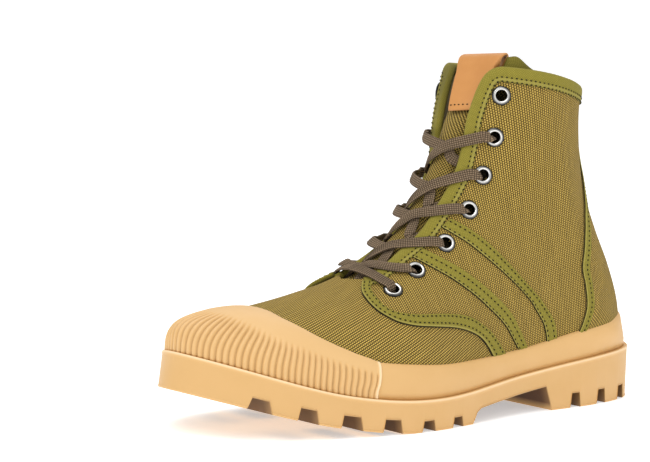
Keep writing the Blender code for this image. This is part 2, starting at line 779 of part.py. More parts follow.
def cap_edge_angles():
    """The toe cap's rear edge as seen from its centre, from end to end: plan angle and elevation."""
    table = np.array(CAP_EDGE)
    outer = last_point(table[:, 0], table[:, 1], np.ones(len(table), int))
    inner = last_point(table[1:, 0], table[1:, 1], -np.ones(len(table) - 1, int))
    points = np.concatenate([inner[::-1], outer]) - np.array(CAP_CENTRE)
    plan = np.arctan2(points[:, 1], points[:, 0])
    rise = np.arctan2(points[:, 2], np.hypot(points[:, 0], points[:, 1]))
    return plan, rise


def make_toe_cap(form, finish):
    """The toe cap: ribs round its foot, a smooth dome above them, and a rear edge over the vamp."""
    plan, rise = cap_edge_angles()
    centre = np.array(CAP_CENTRE)
    outer, inner = sole_sides(CAP_INSET, SAMPLES)
    line = np.concatenate([outer, inner[::-1][1:]])
    angle = np.arctan2(line[:, 1] - centre[1], line[:, 0] - centre[0])
    kept = line[(angle > plan[0]) & (angle < plan[-1]) & (line[:, 0] > foxing_end())]
    kept = even(kept, 2 * RIB_COUNT + 1)
    rings = []
    for number, place in enumerate(kept):
        ridge = RIB_HEIGHT if number % 2 else 0.0
        turn = np.arctan2(place[1] - centre[1], place[0] - centre[0])
        flat = np.array([np.cos(turn), np.sin(turn), 0.0])
        base = float(sole_height(place[0], RIM)) + GAP
        reach = np.hypot(*(place - centre[:2]))
        low = np.arctan2(base + 1.0 - centre[2], reach - CAP_GAP - CAP_PROFILE[0][1])
        high = float(np.interp(turn, plan, rise))
        foot = np.array([*place, base]) + flat * ridge * 0.8
        outside = [foot]
        inside = []
        for share, thick, rib in CAP_PROFILE:
            lean = low + (high - low) * share
            towards = flat * np.cos(lean) + np.array([0.0, 0.0, np.sin(lean)])
            inside.append(form.meet(centre, towards, CAP_GAP))
            if share > CAP_PROFILE[1][0]:
                outside.append(form.meet(centre, towards, OVERLAY_GAP + thick + ridge * rib))
        inside[0][2] = base
        rings.append(outside + inside[::-1])
    return ring_solid("toe_cap", rings, finish)


def make_counter(form, finish):
    """The heel counter: a canvas piece round the back, wide at the foxing and narrow up the back seam."""
    lowest = COUNTER_EDGE[0][0]
    rings = []
    for z, x, y in COUNTER_EDGE:
        reach = np.arctan2(y, COUNTER_AXIS_X - x)
        free = np.clip((COUNTER_FREE - z) / (COUNTER_FREE - lowest), 0.0, 1.0)
        outside = []
        inside = []
        for turn in np.linspace(reach, -reach, SAMPLES // 4):
            towards = np.array([-np.cos(turn), np.sin(turn), 0.0])
            start = np.array([COUNTER_AXIS_X, 0.0, z])
            foot = sole_height(form.meet(start, towards, 0.0)[0], FOXING_TOP) + 2 * GAP
            start[2] += (foot - lowest) * free
            inside.append(form.meet(start, towards, COUNTER_GAP))
            outside.append(form.meet(start, towards, COUNTER_GAP + OVERLAY_THICK))
        rings.append(np.concatenate([even(outside, COUNTER_STEPS), even(inside, COUNTER_STEPS)[::-1]]))
    return ring_solid("heel_counter", rings, finish)


def strip_solid(name, lines, finish):
    """A strip on the upper from lines of places along it: each line has rows, turns and its side."""
    outer = []
    inner = []
    for row, turn, side in lines:
        place = last_point(row, turn, side)
        out = last_normal(row, turn, side)
        inner.append(place + out * OVERLAY_GAP)
        outer.append(place + out * (OVERLAY_GAP + OVERLAY_THICK))
    rings = np.concatenate([np.stack(outer, axis=1), np.stack(inner[::-1], axis=1)], axis=1)
    return ring_solid(name, rings, finish)


def make_band(name, table, side, finish):
    """A band or tape from a table of its low and high edges, on one side of the boot."""
    places = np.array(table)
    sides = np.full(len(places), side)
    for row, turn in ((0, 1), (2, 3)):
        beside = [float(edge_turns(at, side, TAPE_WIDTH + 2 * GAP)) for at in places[:, row]]
        beside = np.where(places[:, row] > FACING_ROWS[0], beside, 0.0)
        places[:, turn] = np.maximum(places[:, turn], beside)
    middle = (places[:, :2] + places[:, 2:]) / 2
    lines = [(places[:, 0], places[:, 1], sides), (middle[:, 0], middle[:, 1], sides),
             (places[:, 2], places[:, 3], sides)]
    return strip_solid(name, lines, finish)


def make_facing(name, side, finish):
    """The tape along one edge of the throat."""
    rows = np.array(FACING_ROWS)
    turns = np.array([edge_turns(at, side, (GAP, TAPE_WIDTH / 2, TAPE_WIDTH)) for at in rows])
    sides = np.full(len(rows), side)
    return strip_solid(name, [(rows, turns[:, k], sides) for k in range(3)], finish)


def make_binding(finish):
    """The binding round the collar, from one front corner by the back to the other."""
    columns = []
    for side in (1, -1):
        first = float(edge_turns(COLLAR_ROW, side, GAP))
        turns = np.linspace(first, np.pi, BINDING_STEPS)
        sides = np.full(BINDING_STEPS, side)
        top = np.full(BINDING_STEPS, COLLAR_ROW - 0.03)
        drop = np.linalg.norm(last_point(top, turns, sides) - last_point(top - 1.0, turns, sides), axis=1)
        rows = [top, top - BINDING_HEIGHT / 2 / drop, top - BINDING_HEIGHT / drop]
        columns.append([(row, turns, sides) for row in rows])
    lines = []
    for outer, inner in zip(*columns):
        lines.append([np.concatenate([a, b[::-1][1:]]) for a, b in zip(outer, inner)])
    return strip_solid("collar_binding", lines, finish)


def make_eyelet(name, number, side, finish):
    """A metal ring set on the canvas: a rounded flange about a hole."""
    row = EYELETS[number][0]
    turn = eyelet_turn(number, side)
    place = last_point(row, turn, side)
    out = last_normal(row, turn, side)
    first = unit(np.cross(out, np.array([0.0, 0.0, 1.0])))
    second = np.cross(out, first)
    profile = ((EYELET_HOLE, 0.0), (EYELET_HOLE + 0.4, EYELET_HEIGHT), (EYELET_RADIUS - 0.8, EYELET_HEIGHT),
               (EYELET_RADIUS, 0.0))
    rings = []
    for spin in np.linspace(0.0, 2 * np.pi, 8, endpoint=False):
        flat = first * np.cos(spin) + second * np.sin(spin)
        rings.append([place + flat * radius + out * (OVERLAY_GAP + height) for radius, height in profile])
    return ring_solid(name, rings, finish, close=True)


def eyelet_turn(number, side):
    """Turn of an eyelet on a side: both sides have it at the same distance from the throat's edge."""
    row, turn = EYELETS[number]
    if side > 0:
        return turn
    first = float(turn_at(row, throat_half(row, 1), 1))
    fine = np.linspace(first, turn, SAMPLES)
    line = last_point(np.full(SAMPLES, row), fine, np.ones(SAMPLES, int))
    distance = np.linalg.norm(np.diff(line, axis=0), axis=1).sum()
    return float(edge_turns(row, -1, distance))


def eyelet_across(number, side):
    """Distance of an eyelet from the ridge, across the boot; the outer side is positive."""
    row = EYELETS[number][0]
    return float(last_point(row, eyelet_turn(number, side), side)[1] - last_row(row)["middle"])


def lace_strand(name, rows, across, lifts, finish):
    """A flat strand through places off the last: row, distance from the ridge and lift at each."""
    path = over_last(rows, across, lifts)
    ahead = unit(np.gradient(path, axis=0))
    out = unit(over_last(rows, across, np.asarray(lifts) + 1.0) - path)
    beside = unit(np.cross(ahead, out))
    out = np.cross(beside, ahead)
    half = LACE_WIDTH / 2
    thick = LACE_THICK / 2
    rings = np.stack([path + beside * half + out * thick, path - beside * half + out * thick,
                      path - beside * half - out * thick, path + beside * half - out * thick], axis=1)
    return ring_solid(name, rings, finish)


def make_bar(finish):
    """The lace's bar between the lowest eyelets, over both facings."""
    row = EYELETS[0][0]
    across = np.linspace(eyelet_across(0, -1) + 2.0, eyelet_across(0, 1) - 2.0, 9)
    bow = np.sin(np.linspace(0.0, np.pi, 9))
    return lace_strand("lace_bar", row - 0.15 * bow, across, LACE_LIFT + 0.8 * bow, finish)


def make_crossing(number, middle, low, finish):
    """One crossing of the lace: two strands, each from beside the far facing, over its own to its eyelet."""
    strands = []
    high = EYELETS[number - 1][0]
    for side in (1, -1):
        start = -side * (throat_half(low, -side) - 3.6)
        end = eyelet_across(number - 1, side) - side * 2.5
        across = np.linspace(start, end, 8)
        along = np.where(across * side < 0, across / abs(start), across / abs(end)) * side
        rows = low * along * (along - 1) / 2 + middle * (1 - along**2) + high * along * (along + 1) / 2
        own = side * throat_half(high, side)
        climb = np.clip((across - start) / (own - side * 2.0 - start), 0.0, 1.0)
        top = LACE_LIFT if side > 0 else LACE_STAND_OFF
        lifts = LACE_DIP + (top - LACE_DIP) * climb + side * 0.35 * np.sin(np.pi * climb)
        name = "lace_cross_%d" % number if side > 0 else "lace_under_%d" % number
        strands.append(lace_strand(name, rows, across, lifts, finish))
    over, under = strands
    under.hide_render = True
    under.display_type = "WIRE"
    join = over.modifiers.new("join", "BOOLEAN")
    join.operation = "UNION"
    join.solver = "EXACT"
    join.object = under
    return over


def make_tab(finish):
    """The leather tab: one strip folded over the tongue's top, as an open loop."""
    fold = np.array(TAB_FOLD)
    level = np.array([0.0, 1.0, 0.0])
    rings = []
    for share in np.linspace(0.0, 1.0, 6):
        across = fold[:, 2] + (fold[:, 3] - fold[:, 2]) * share
        middle = over_last(fold[:, 0], across, fold[:, 1])
        out = unit(np.cross(level, unit(np.gradient(middle, axis=0))))
        rings.append(np.concatenate([middle + out * TAB_THICK / 2, (middle - out * TAB_THICK / 2)[::-1]]))
    return ring_solid("tongue_tab", rings, finish)


def make_badge(form, finish):
    """A round leather disc sewn on the inner ankle."""
    spins = np.linspace(0.0, 2 * np.pi, 18, endpoint=False)
    rings = []
    for radius, lift in ((BADGE_RADIUS, OVERLAY_GAP), (BADGE_RADIUS, OVERLAY_GAP + BADGE_THICK * 0.7),
                         (BADGE_RADIUS - 0.8, OVERLAY_GAP + BADGE_THICK)):
        rings.append([form.meet((BADGE_X + radius * np.cos(spin), -90.0, BADGE_Z + radius * np.sin(spin)),
                                (0.0, 1.0, 0.0), lift) for spin in spins])
    return ring_solid("ankle_badge", rings, finish)


def build():
    """Makes every piece of the boot."""
    clear_scene()
    make_outsole("rubber")
    make_upper("canvas")
    make_insole("lining")
    make_tongue("canvas")
    form = Form()
    make_foxing(form, "rubber")
    make_toe_cap(form, "rubber")
    make_counter(form, "canvas")
    make_binding("tape")
    for side, word in ((1, "lateral"), (-1, "medial")):
        make_facing("facing_tape_" + word, side, "tape")
        make_band("quarter_tape_" + word, QUARTER_TAPE, side, "tape")
        make_band("front_band_" + word, FRONT_BAND, side, "tape")
        make_band("rear_band_" + word, REAR_BAND, side, "tape")
        for number in range(len(EYELETS)):
            make_eyelet("eyelet_%s_%d" % (word, number + 1), number, side, "metal")
    make_bar("lace")
    for number, middle, low in LACE_ROWS:
        make_crossing(number, middle, low, "lace")
    make_tab("leather")
    make_badge(form, "badge leather")


build()
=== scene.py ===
"""Dresses the canvas ankle boot: woven canvas on the last, sewn tapes, moulded rubber, metal eyelets, a flat
lace, a leather tab and a leather badge, on a pale floor under soft light.

Places are in millimetres, measured as on the last: x from the back of the heel towards the toe, y from the
line through heel and ankle towards the outer side, z from the floor. The meshes are in metres, with the
origin under the middle of the sole.
"""

import bmesh
import bpy
import numpy as np
from mathutils import Matrix


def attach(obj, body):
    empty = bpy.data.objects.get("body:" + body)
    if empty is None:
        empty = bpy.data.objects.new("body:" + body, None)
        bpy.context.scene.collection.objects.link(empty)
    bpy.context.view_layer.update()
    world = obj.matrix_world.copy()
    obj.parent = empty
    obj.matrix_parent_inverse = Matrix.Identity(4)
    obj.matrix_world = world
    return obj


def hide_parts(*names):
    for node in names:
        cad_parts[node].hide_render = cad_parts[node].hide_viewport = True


# A millimetre in metres, a small step in row or turn, the least length, and the steps of a fine line
MM = 0.001
SMALL = 0.001
TINY = 1e-9
FINE = 240
UP = np.array([0.0, 0.0, 1.0])
LEVEL = np.array([1.0, 1.0, 0.0])
SIDES = ((1, "lateral"), (-1, "medial"))

# The photograph's camera: angles in degrees, picture width and focus in pixels, the rest in millimetres
PICTURE_WIDTH = 650.0
CAMERA_TURN = 141.24
CAMERA_RISE = 5.83
CAMERA_ROLL = 1.51
CAMERA_DISTANCE = 1300.0
CAMERA_FOCUS = 2595.85
CAMERA_TARGET = (140.0, 0.0, 80.0)
CAMERA_ASIDE = (-43.77, 10.74)
SENSOR_WIDTH = 36.0

# Sole: outline at the rim, and heights along it
SOLE_OUTLINE = (
    # place, x, y
    ("heel back", 0.0, 0.0),
    ("heel, outer", 10.0, 24.2),
    ("seat, outer", 42.0, 35.6),
    ("waist, outer", 100.0, 39.5),
    ("fifth joint", 165.0, 52.5),
    ("little toe", 210.0, 49.0),
    ("toe, outer", 256.0, 33.0),
    ("tip", 281.0, -5.0),
    ("toe, inner", 262.0, -37.5),
    ("first joint", 200.0, -48.0),
    ("waist, inner", 100.0, -31.0),
    ("seat, inner", 42.0, -35.0),
    ("heel, inner", 10.5, -25.0),
)
SOLE_HEIGHTS = (
    # x, tread, rim, foxing
    (0.0, 0.0, 27.8, 46.0),
    (55.0, 0.0, 24.2, 38.8),
    (100.0, 0.0, 19.8, 32.5),
    (145.0, 0.0, 16.0, 30.7),
    (180.0, 0.0, 16.0, 32.8),
    (212.0, 3.7, 19.7, 36.6),
    (240.0, 9.5, 26.3, 40.5),
    (281.0, 21.5, 39.2, 46.0),
)
TREAD, RIM, FOXING_TOP = 1, 2, 3
LUG_GROOVES = (
    # x, wide, narrow, depth
    (256.8, 8.8, 6.2, 5.6),
    (236.8, 9.8, 7.4, 6.3),
    (215.0, 11.4, 8.8, 6.4),
    (193.0, 11.0, 8.6, 6.4),
    (171.2, 8.6, 6.4, 5.3),
    (150.5, 8.0, 6.0, 5.0),
    (58.8, 7.6, 5.6, 7.4),
    (38.2, 7.4, 5.6, 7.4),
    (19.0, 7.0, 5.4, 7.2),
)
GROOVE_REACH = 30.0
HEEL_GROOVE_REACH = 17.0
ARCH_CORNERS = (
    # x, z
    (75.4, -1.0),
    (80.5, 12.4),
    (114.0, 8.7),
    (131.5, 7.0),
    (135.0, 5.2),
    (136.8, 2.2),
    (139.0, -1.0),
)

# The last, one row for each section from the toe to the collar
LAST = (
    # top_x, top_z, low_x, low_z, middle, outer, inner, widest, round_top, round_low
    (276.2, 39.6, 276.2, 39.2, -6.4, 0.0, 0.0, 0.75, 2.2, 3.0),
    (275.9, 43.0, 275.9, 26.0, -6.3, 5.5, 5.5, 0.75, 2.2, 3.0),
    (274.3, 47.0, 274.3, 25.0, -6.0, 10.5, 10.5, 0.75, 2.2, 3.0),
    (270.5, 50.5, 270.5, 23.5, -5.6, 17.2, 17.6, 0.75, 2.2, 3.0),
    (264.0, 53.2, 264.0, 21.0, -5.0, 25.0, 25.5, 0.74, 2.2, 3.0),
    (254.0, 55.4, 254.0, 18.0, -4.2, 33.0, 32.0, 0.74, 2.2, 3.2),
    (239.0, 57.2, 239.0, 14.5, -3.2, 39.8, 37.4, 0.74, 2.1, 3.2),
    (221.0, 60.2, 220.0, 10.5, -2.6, 44.6, 40.4, 0.75, 2.0, 3.2),
    (203.0, 63.9, 200.0, 8.0, -2.0, 48.2, 41.2, 0.76, 2.0, 3.2),
    (187.0, 68.0, 178.0, 7.0, -1.6, 50.0, 39.4, 0.77, 2.0, 3.2),
    (173.5, 74.0, 151.0, 7.0, -1.2, 48.2, 35.4, 0.76, 2.0, 3.2),
    (160.0, 83.5, 122.0, 9.0, -0.8, 41.8, 30.4, 0.72, 2.0, 3.8),
    (148.0, 95.0, 90.0, 11.0, -0.4, 36.4, 28.4, 0.66, 2.0, 4.2),
    (138.0, 108.5, 56.0, 13.0, 0.0, 34.0, 30.2, 0.60, 2.0, 4.4),
    (131.0, 120.0, 22.0, 17.0, 0.0, 33.2, 32.0, 0.56, 2.0, 4.4),
    (127.0, 127.5, 5.2, 28.1, 0.0, 33.0, 32.4, 0.54, 2.0, 2.3),
    (124.4, 134.0, 6.0, 44.0, 0.0, 32.8, 32.2, 0.53, 2.0, 2.1),
    (122.2, 140.5, 13.0, 61.5, 0.0, 32.6, 32.0, 0.52, 2.0, 2.05),
    (120.4, 147.0, 23.2, 79.0, 0.0, 32.4, 31.8, 0.52, 2.0, 2.05),
    (118.4, 153.5, 32.4, 98.0, 0.0, 32.4, 31.8, 0.51, 2.0, 2.05),
    (115.8, 160.5, 37.2, 118.5, 0.0, 32.4, 31.8, 0.50, 2.0, 2.05),
    (112.6, 167.5, 39.8, 141.0, 0.0, 32.2, 32.0, 0.50, 2.0, 2.05),
    (109.2, 174.0, 39.4, 159.7, 0.0, 32.0, 32.0, 0.50, 2.0, 2.05),
)
COLUMNS = ("top_x", "top_z", "low_x", "low_z", "middle", "outer", "inner", "widest", "round_top", "round_low")
HEEL_ROW = 15
COLLAR_ROW = len(LAST) - 1
CROWN_ROW = 17
COLLAR_CROWN_OUTER = 2.6
COLLAR_CROWN_INNER = 6.0
CROWN_MOST = 1.2
WALL = 2.0
GAP = 0.3

# Half widths of the throat by row, with a round corner at the collar
THROAT = (
    # row, outer, inner
    (9.2, 0.0, 0.0),
    (9.45, 9.0, 7.2),
    (9.7, 11.3, 8.6),
    (10.0, 11.8, 9.2),
    (11.0, 11.4, 10.8),
    (12.0, 12.6, 12.4),
    (13.0, 12.3, 14.8),
    (14.0, 12.4, 15.6),
    (16.0, 12.0, 15.2),
    (18.3, 11.7, 13.8),
    (20.4, 12.9, 14.5),
    (21.0, 13.5, 15.0),
    (21.5, 14.6, 15.9),
    (21.8, 16.4, 17.4),
    (22.0, 19.4, 20.0),
)

# Lines on the upper, as places on the last: row, and turn from the ridge in radians
EYELETS = (
    # row, turn
    (9.90, 0.550),
    (10.95, 0.576),
    (12.25, 0.654),
    (13.55, 0.672),
    (15.40, 0.654),
    (18.10, 0.742),
    (20.45, 0.768),
)
QUARTER_TAPE = (
    # low row, low turn, high row, high turn
    (9.38, 0.255, 9.62, 0.325),
    (9.16, 0.318, 9.40, 0.380),
    (8.97, 0.400, 9.26, 0.455),
    (8.88, 0.500, 9.20, 0.540),
    (8.85, 0.590, 9.19, 0.625),
    (8.90, 0.695, 9.24, 0.705),
    (9.03, 0.785, 9.36, 0.765),
    (9.25, 0.880, 9.62, 0.828),
    (9.62, 0.968, 9.95, 0.893),
    (10.18, 1.072, 10.43, 0.985),
    (10.72, 1.190, 10.95, 1.100),
    (11.05, 1.280, 11.28, 1.190),
    (11.25, 1.355, 11.50, 1.275),
    (11.38, 1.422, 11.64, 1.365),
    (11.45, 1.485, 11.75, 1.450),
    (11.48, 1.545, 11.80, 1.530),
)
FRONT_BAND = (
    # low row, low turn, high row, high turn
    (11.18, 0.460, 11.62, 0.490),
    (11.30, 0.610, 11.74, 0.620),
    (11.45, 0.750, 11.88, 0.755),
    (11.62, 0.890, 12.04, 0.890),
    (11.78, 1.030, 12.18, 1.030),
    (11.93, 1.170, 12.31, 1.170),
    (12.05, 1.310, 12.42, 1.310),
    (12.15, 1.430, 12.49, 1.430),
    (12.20, 1.530, 12.50, 1.535),
    (12.20, 1.590, 12.46, 1.600),
)
REAR_BAND = (
    # low row, low turn, high row, high turn
    (12.50, 0.525, 12.90, 0.565),
    (12.60, 0.680, 13.01, 0.690),
    (12.71, 0.820, 13.12, 0.825),
    (12.80, 0.960, 13.20, 0.960),
    (12.89, 1.100, 13.25, 1.100),
    (12.98, 1.240, 13.28, 1.240),
    (13.06, 1.380, 13.31, 1.380),
    (13.11, 1.500, 13.35, 1.500),
    (13.09, 1.580, 13.36, 1.585),
    (12.99, 1.645, 13.25, 1.660),
)
CAP_EDGE = (
    # row, turn
    (6.12, 0.000),
    (6.18, 0.260),
    (6.30, 0.524),
    (6.80, 0.864),
    (7.50, 1.100),
    (8.05, 1.222),
    (8.22, 1.262),
)
CAP_CENTRE = (214.0, -4.0, 24.0)
CAP_FOOT_X = 201.3
COUNTER_EDGE = (
    # z, x, y
    (41.8, 55.5, 33.0),
    (46.0, 52.6, 33.0),
    (53.0, 50.0, 33.0),
    (62.0, 51.4, 32.9),
    (71.0, 54.0, 32.8),
    (80.0, 53.0, 32.5),
    (88.0, 52.2, 32.2),
    (98.0, 50.6, 30.6),
    (106.0, 47.6, 26.5),
    (115.0, 44.2, 20.5),
    (126.0, 42.2, 15.0),
    (152.0, 41.2, 12.0),
)
COUNTER_AXIS_X = 66.0
COUNTER_FREE = 64.0
LACE_ROWS = (
    # crossing, row of the crossing on the ridge, row of the low ends
    (2, 10.20, 9.95),
    (3, 11.10, 10.50),
    (4, 12.37, 11.60),
    (5, 13.42, 12.60),
    (6, 15.95, 14.70),
)
TAB_FOLD = (
    # row, lift, inner end, outer end: up the front, over and down behind the tongue
    (18.70, -3.15, -4.2, 17.5),
    (19.70, -3.15, -6.0, 16.8),
    (20.70, -3.15, -8.0, 16.2),
    (21.60, -3.15, -10.0, 16.0),
    (22.20, -2.70, -11.6, 17.0),
    (22.65, -3.00, -12.8, 18.4),
    (22.90, -5.60, -13.4, 19.6),
    (22.65, -8.30, -13.0, 20.6),
    (22.00, -8.90, -12.0, 20.8),
    (21.20, -8.60, -10.0, 20.6),
)
BADGE_CENTRE = (80.0, -60.0, 118.0)
BADGE_RADIUS = 10.0

# Main creases of the canvas: a place, the direction that it runs in, half length, half width and height
FOLDS = (
    # x, y, z, along x, along y, along z, length, width, height
    (78.0, 33.0, 112.0, 0.30, 0.0, 1.0, 30.0, 7.0, -0.55),
    (66.0, 33.0, 120.0, 0.25, 0.0, 1.0, 26.0, 6.0, 0.45),
    (98.0, 34.0, 88.0, 1.0, 0.0, 0.55, 22.0, 6.0, -0.45),
    (110.0, 36.0, 70.0, 1.0, 0.0, 0.45, 26.0, 6.0, 0.40),
    (196.0, 20.0, 58.0, 0.2, 1.0, -0.4, 22.0, 5.0, -0.45),
    (205.0, 22.0, 55.0, 0.2, 1.0, -0.4, 20.0, 5.0, 0.35),
    (80.0, -33.0, 96.0, 0.35, 0.0, 1.0, 24.0, 7.0, -0.5),
    (150.0, -34.0, 52.0, 1.0, 0.0, 0.3, 28.0, 6.0, -0.4),
)


# Numbers: curves, directions and places on the last


def unit(vectors):
    """Vectors at length 1."""
    return vectors / np.maximum(np.linalg.norm(vectors, axis=-1, keepdims=True), TINY)


def smooth_rows(rows, at):
    """Values between the rows of a table, on a cubic curve through them; whole numbers give the rows."""
    rows = np.asarray(rows, float)
    at = np.clip(np.asarray(at, float), 0.0, len(rows) - 1.0)
    slope = np.gradient(rows, axis=0)
    first = np.minimum(at.astype(int), len(rows) - 2)
    t = (at - first)[..., None]
    return (
        (2 * t**3 - 3 * t**2 + 1) * rows[first]
        + (t**3 - 2 * t**2 + t) * slope[first]
        + (3 * t**2 - 2 * t**3) * rows[first + 1]
        + (t**3 - t**2) * slope[first + 1]
    )


def resample(rows, count):
    """A table read at this many even steps on the smooth curve through its rows."""
    return smooth_rows(rows, np.linspace(0.0, len(rows) - 1.0, count))


def lengths(points):
    """Distance along a line of points, from its start to each point."""
    steps = np.linalg.norm(np.diff(points, axis=0), axis=1)
    return np.concatenate([[0.0], np.cumsum(steps)])


def row_lengths(grid):
    """Distance along each row of a grid of points, from the row's start to each point."""
    steps = np.linalg.norm(np.diff(grid, axis=1), axis=2)
    return np.concatenate([np.zeros((len(grid), 1)), np.cumsum(steps, axis=1)], axis=1)


def read_line(points, along, wanted):
    """A line's values at the wanted distances, straight between its points."""
    return np.stack([np.interp(wanted, along, column) for column in points.T], axis=1)


def even(points, count):
    """A line of points read again at this many places, evenly spaced along it."""
    along = lengths(points[:, :3])
    return read_line(points, along, np.linspace(0.0, along[-1], count))


def smooth_along(values, window):
    """Values averaged along a path with a bell of this many steps."""
    weights = np.hanning(window + 2)[1:-1]
    ends = [np.repeat(row, window // 2, axis=0) for row in (values[:1], values[-1:])]
    padded = np.concatenate([ends[0], values, ends[1]])
    columns = [np.convolve(column, weights / weights.sum(), mode="valid") for column in padded.T]
    return np.stack(columns, axis=1)


def ramp(value, start, end):
    """A soft step from 0 at the start to 1 at the end."""
    t = np.clip((value - start) / (end - start), 0.0, 1.0)
    return t * t * (3 - 2 * t)


def closed_curve(points, steps):
    """A closed curve through the points, with this many steps between each pair, spaced by chord."""
    points = np.asarray(points, float)
    before, after = np.roll(points, 1, axis=0), np.roll(points, -1, axis=0)
    chord = np.linalg.norm(after - points, axis=1)
    slope = (after - before) / (chord + np.roll(chord, 1))[:, None]
    t = np.arange(steps)[:, None, None] / steps
    span = chord[None, :, None]
    curve = (
        (2 * t**3 - 3 * t**2 + 1) * points
        + (t**3 - 2 * t**2 + t) * slope * span
        + (3 * t**2 - 2 * t**3) * after
        + (t**3 - t**2) * np.roll(slope, -1, axis=0) * span
    )
    return curve.transpose(1, 0, 2).reshape(-1, 2)


CURVE_STEPS = 40
OUTLINE = closed_curve([row[1:] for row in SOLE_OUTLINE], CURVE_STEPS)
ORIGIN = np.array([*((OUTLINE.min(axis=0) + OUTLINE.max(axis=0)) / 2), 0.0])


def placed(points):
    """Points of the last's frame as points of the model, in metres."""
    return (np.asarray(points, float) - ORIGIN) * MM


def sole_sides(inset, count):
    """The outer and the inner side of the sole outline from heel to tip, moved inwards by the inset."""
    ahead = np.roll(OUTLINE, -1, axis=0) - np.roll(OUTLINE, 1, axis=0)
    inwards = unit(np.stack([ahead[:, 1], -ahead[:, 0]], axis=1))
    moved = OUTLINE + inwards * inset
    tip = int(OUTLINE[:, 0].argmax())
    outer = moved[: tip + 1]
    inner = np.concatenate([moved[tip:], moved[:1]])[::-1]
    return even(outer, count), even(inner, count)


def sole_height(x, column):
    """Height of the tread, rim or foxing at x, on a curve through the table of heights."""
    table = np.array(SOLE_HEIGHTS)
    fine = resample(table[:, [0, column]], FINE)
    return np.interp(x, fine[:, 0], np.maximum(fine[:, 1], 0.0))


def last_row(at):
    """The sizes of the last's section at a row number, as named values."""
    return dict(zip(COLUMNS, np.moveaxis(smooth_rows(LAST, at), -1, 0)))


def last_point(at, turn, side):
    """A point of the last: the row number, the turn from the ridge (0) to the low point (pi), and the side,
    1 outer or -1 inner. Each quarter of a section is a superellipse about its widest place. Towards the
    collar the sides rise, as the square of the way up to it."""
    row = last_row(at)
    half = np.where(side > 0, row["outer"], row["inner"])
    upper = turn <= np.pi / 2
    power = 2.0 / np.where(upper, row["round_top"], row["round_low"])
    across = np.abs(np.sin(turn)) ** power
    along = np.abs(np.cos(turn)) ** power
    down = np.where(upper, row["widest"] * (1 - along), row["widest"] + (1 - row["widest"]) * along)
    x = row["top_x"] + (row["low_x"] - row["top_x"]) * down
    crown = np.where(side > 0, COLLAR_CROWN_OUTER, COLLAR_CROWN_INNER * np.clip(turn / 2, 0.0, 1.0))
    crown = crown * np.clip((at - CROWN_ROW) / (COLLAR_ROW - CROWN_ROW), 0.0, CROWN_MOST) ** 2
    z = row["top_z"] + (row["low_z"] - row["top_z"]) * down + crown * across**2
    return np.stack(np.broadcast_arrays(x, row["middle"] + side * half * across, z), axis=-1)


def last_normal(at, turn, side):
    """The direction out of the last at a point, from two small steps over it."""
    turn = np.clip(turn, 2 * SMALL, np.pi - 2 * SMALL)
    along = last_point(at + SMALL, turn, side) - last_point(at - SMALL, turn, side)
    round_it = last_point(at, turn + SMALL, side) - last_point(at, turn - SMALL, side)
    return unit(np.cross(round_it, along) * np.asarray(side)[..., None])


def turn_at(at, offset, side):
    """The turn at which a section is this far from its ridge, measured across the boot."""
    row = last_row(at)
    half = np.maximum(np.where(side > 0, row["outer"], row["inner"]), SMALL)
    return np.arcsin(np.clip(offset / half, 0.0, 1.0) ** (row["round_top"] / 2.0))


def throat_half(at, side):
    """Half width of the throat on a side at a row number."""
    table = np.array(THROAT)
    outer = np.interp(at, table[:, 0], table[:, 1], left=0.0)
    inner = np.interp(at, table[:, 0], table[:, 2], left=0.0)
    return np.where(np.asarray(side) > 0, outer, inner)


def folds(points):
    """Height of the canvas's creases: for each, a bell along its length times a bell across it."""
    table = np.array(FOLDS)
    offset = points[..., None, :] - table[:, :3]
    towards = unit(table[:, 3:6])
    along = (offset * towards).sum(axis=-1)
    aside = np.linalg.norm(offset - along[..., None] * towards, axis=-1)
    bells = np.exp(-((along / table[:, 6]) ** 2) - (aside / table[:, 7]) ** 2)
    return (bells * table[:, 8]).sum(axis=-1)


# The inner facing: its dip and how far that reaches, its swell and where that rises and fades, and the rows
# over which both begin
FACING_DIP = 1.2
FACING_DIP_REACH = 7.0
FACING_SWELL = 2.1
FACING_RISES = (1.0, 11.0)
FACING_FADES = (13.0, 36.0)
FACING_ROWS = (9.9, 12.0)


def facing_form(at, side, point):
    """Height of the inner facing over the last: it dips at its bound edge, swells along its eyelets, and dies
    away behind them."""
    edge = last_point(at, turn_at(at, throat_half(at, side), side), side)
    aside = np.linalg.norm(point - edge, axis=-1)
    dip = FACING_DIP * (1 - ramp(aside, 0.0, FACING_DIP_REACH))
    swell = FACING_SWELL * ramp(aside, *FACING_RISES) * (1 - ramp(aside, *FACING_FADES))
    return np.where(side < 0, (swell - dip) * ramp(at, *FACING_ROWS), 0.0)


def laid(at, turn, side, lift):
    """A point on the dressed upper: the last's surface, raised along its normal by the creases, the inner
    facing's form and the lift."""
    at, turn, side, lift = np.broadcast_arrays(at, turn, side, lift)
    point = last_point(at, turn, side)
    rise = folds(point) + facing_form(at, side, point) + lift
    return point + last_normal(at, turn, side) * rise[..., None]


def over_last(at, across, lift):
    """A point off the last: row number, distance from the ridge (outer side positive), and height above the
    surface. Rows past the collar carry on straight up from it."""
    at, across, lift = np.broadcast_arrays(np.asarray(at, float), np.asarray(across, float), lift)
    side = np.where(across >= 0, 1, -1)
    low = np.minimum(at, COLLAR_ROW - SMALL)
    turn = np.maximum(turn_at(low, np.abs(across), side), SMALL)
    point = last_point(low, turn, side)
    rise = point - last_point(low - 1.0, turn, side)
    return point + rise * (at - low)[..., None] + last_normal(low, turn, side) * lift[..., None]


SETTLE_STEPS = 5


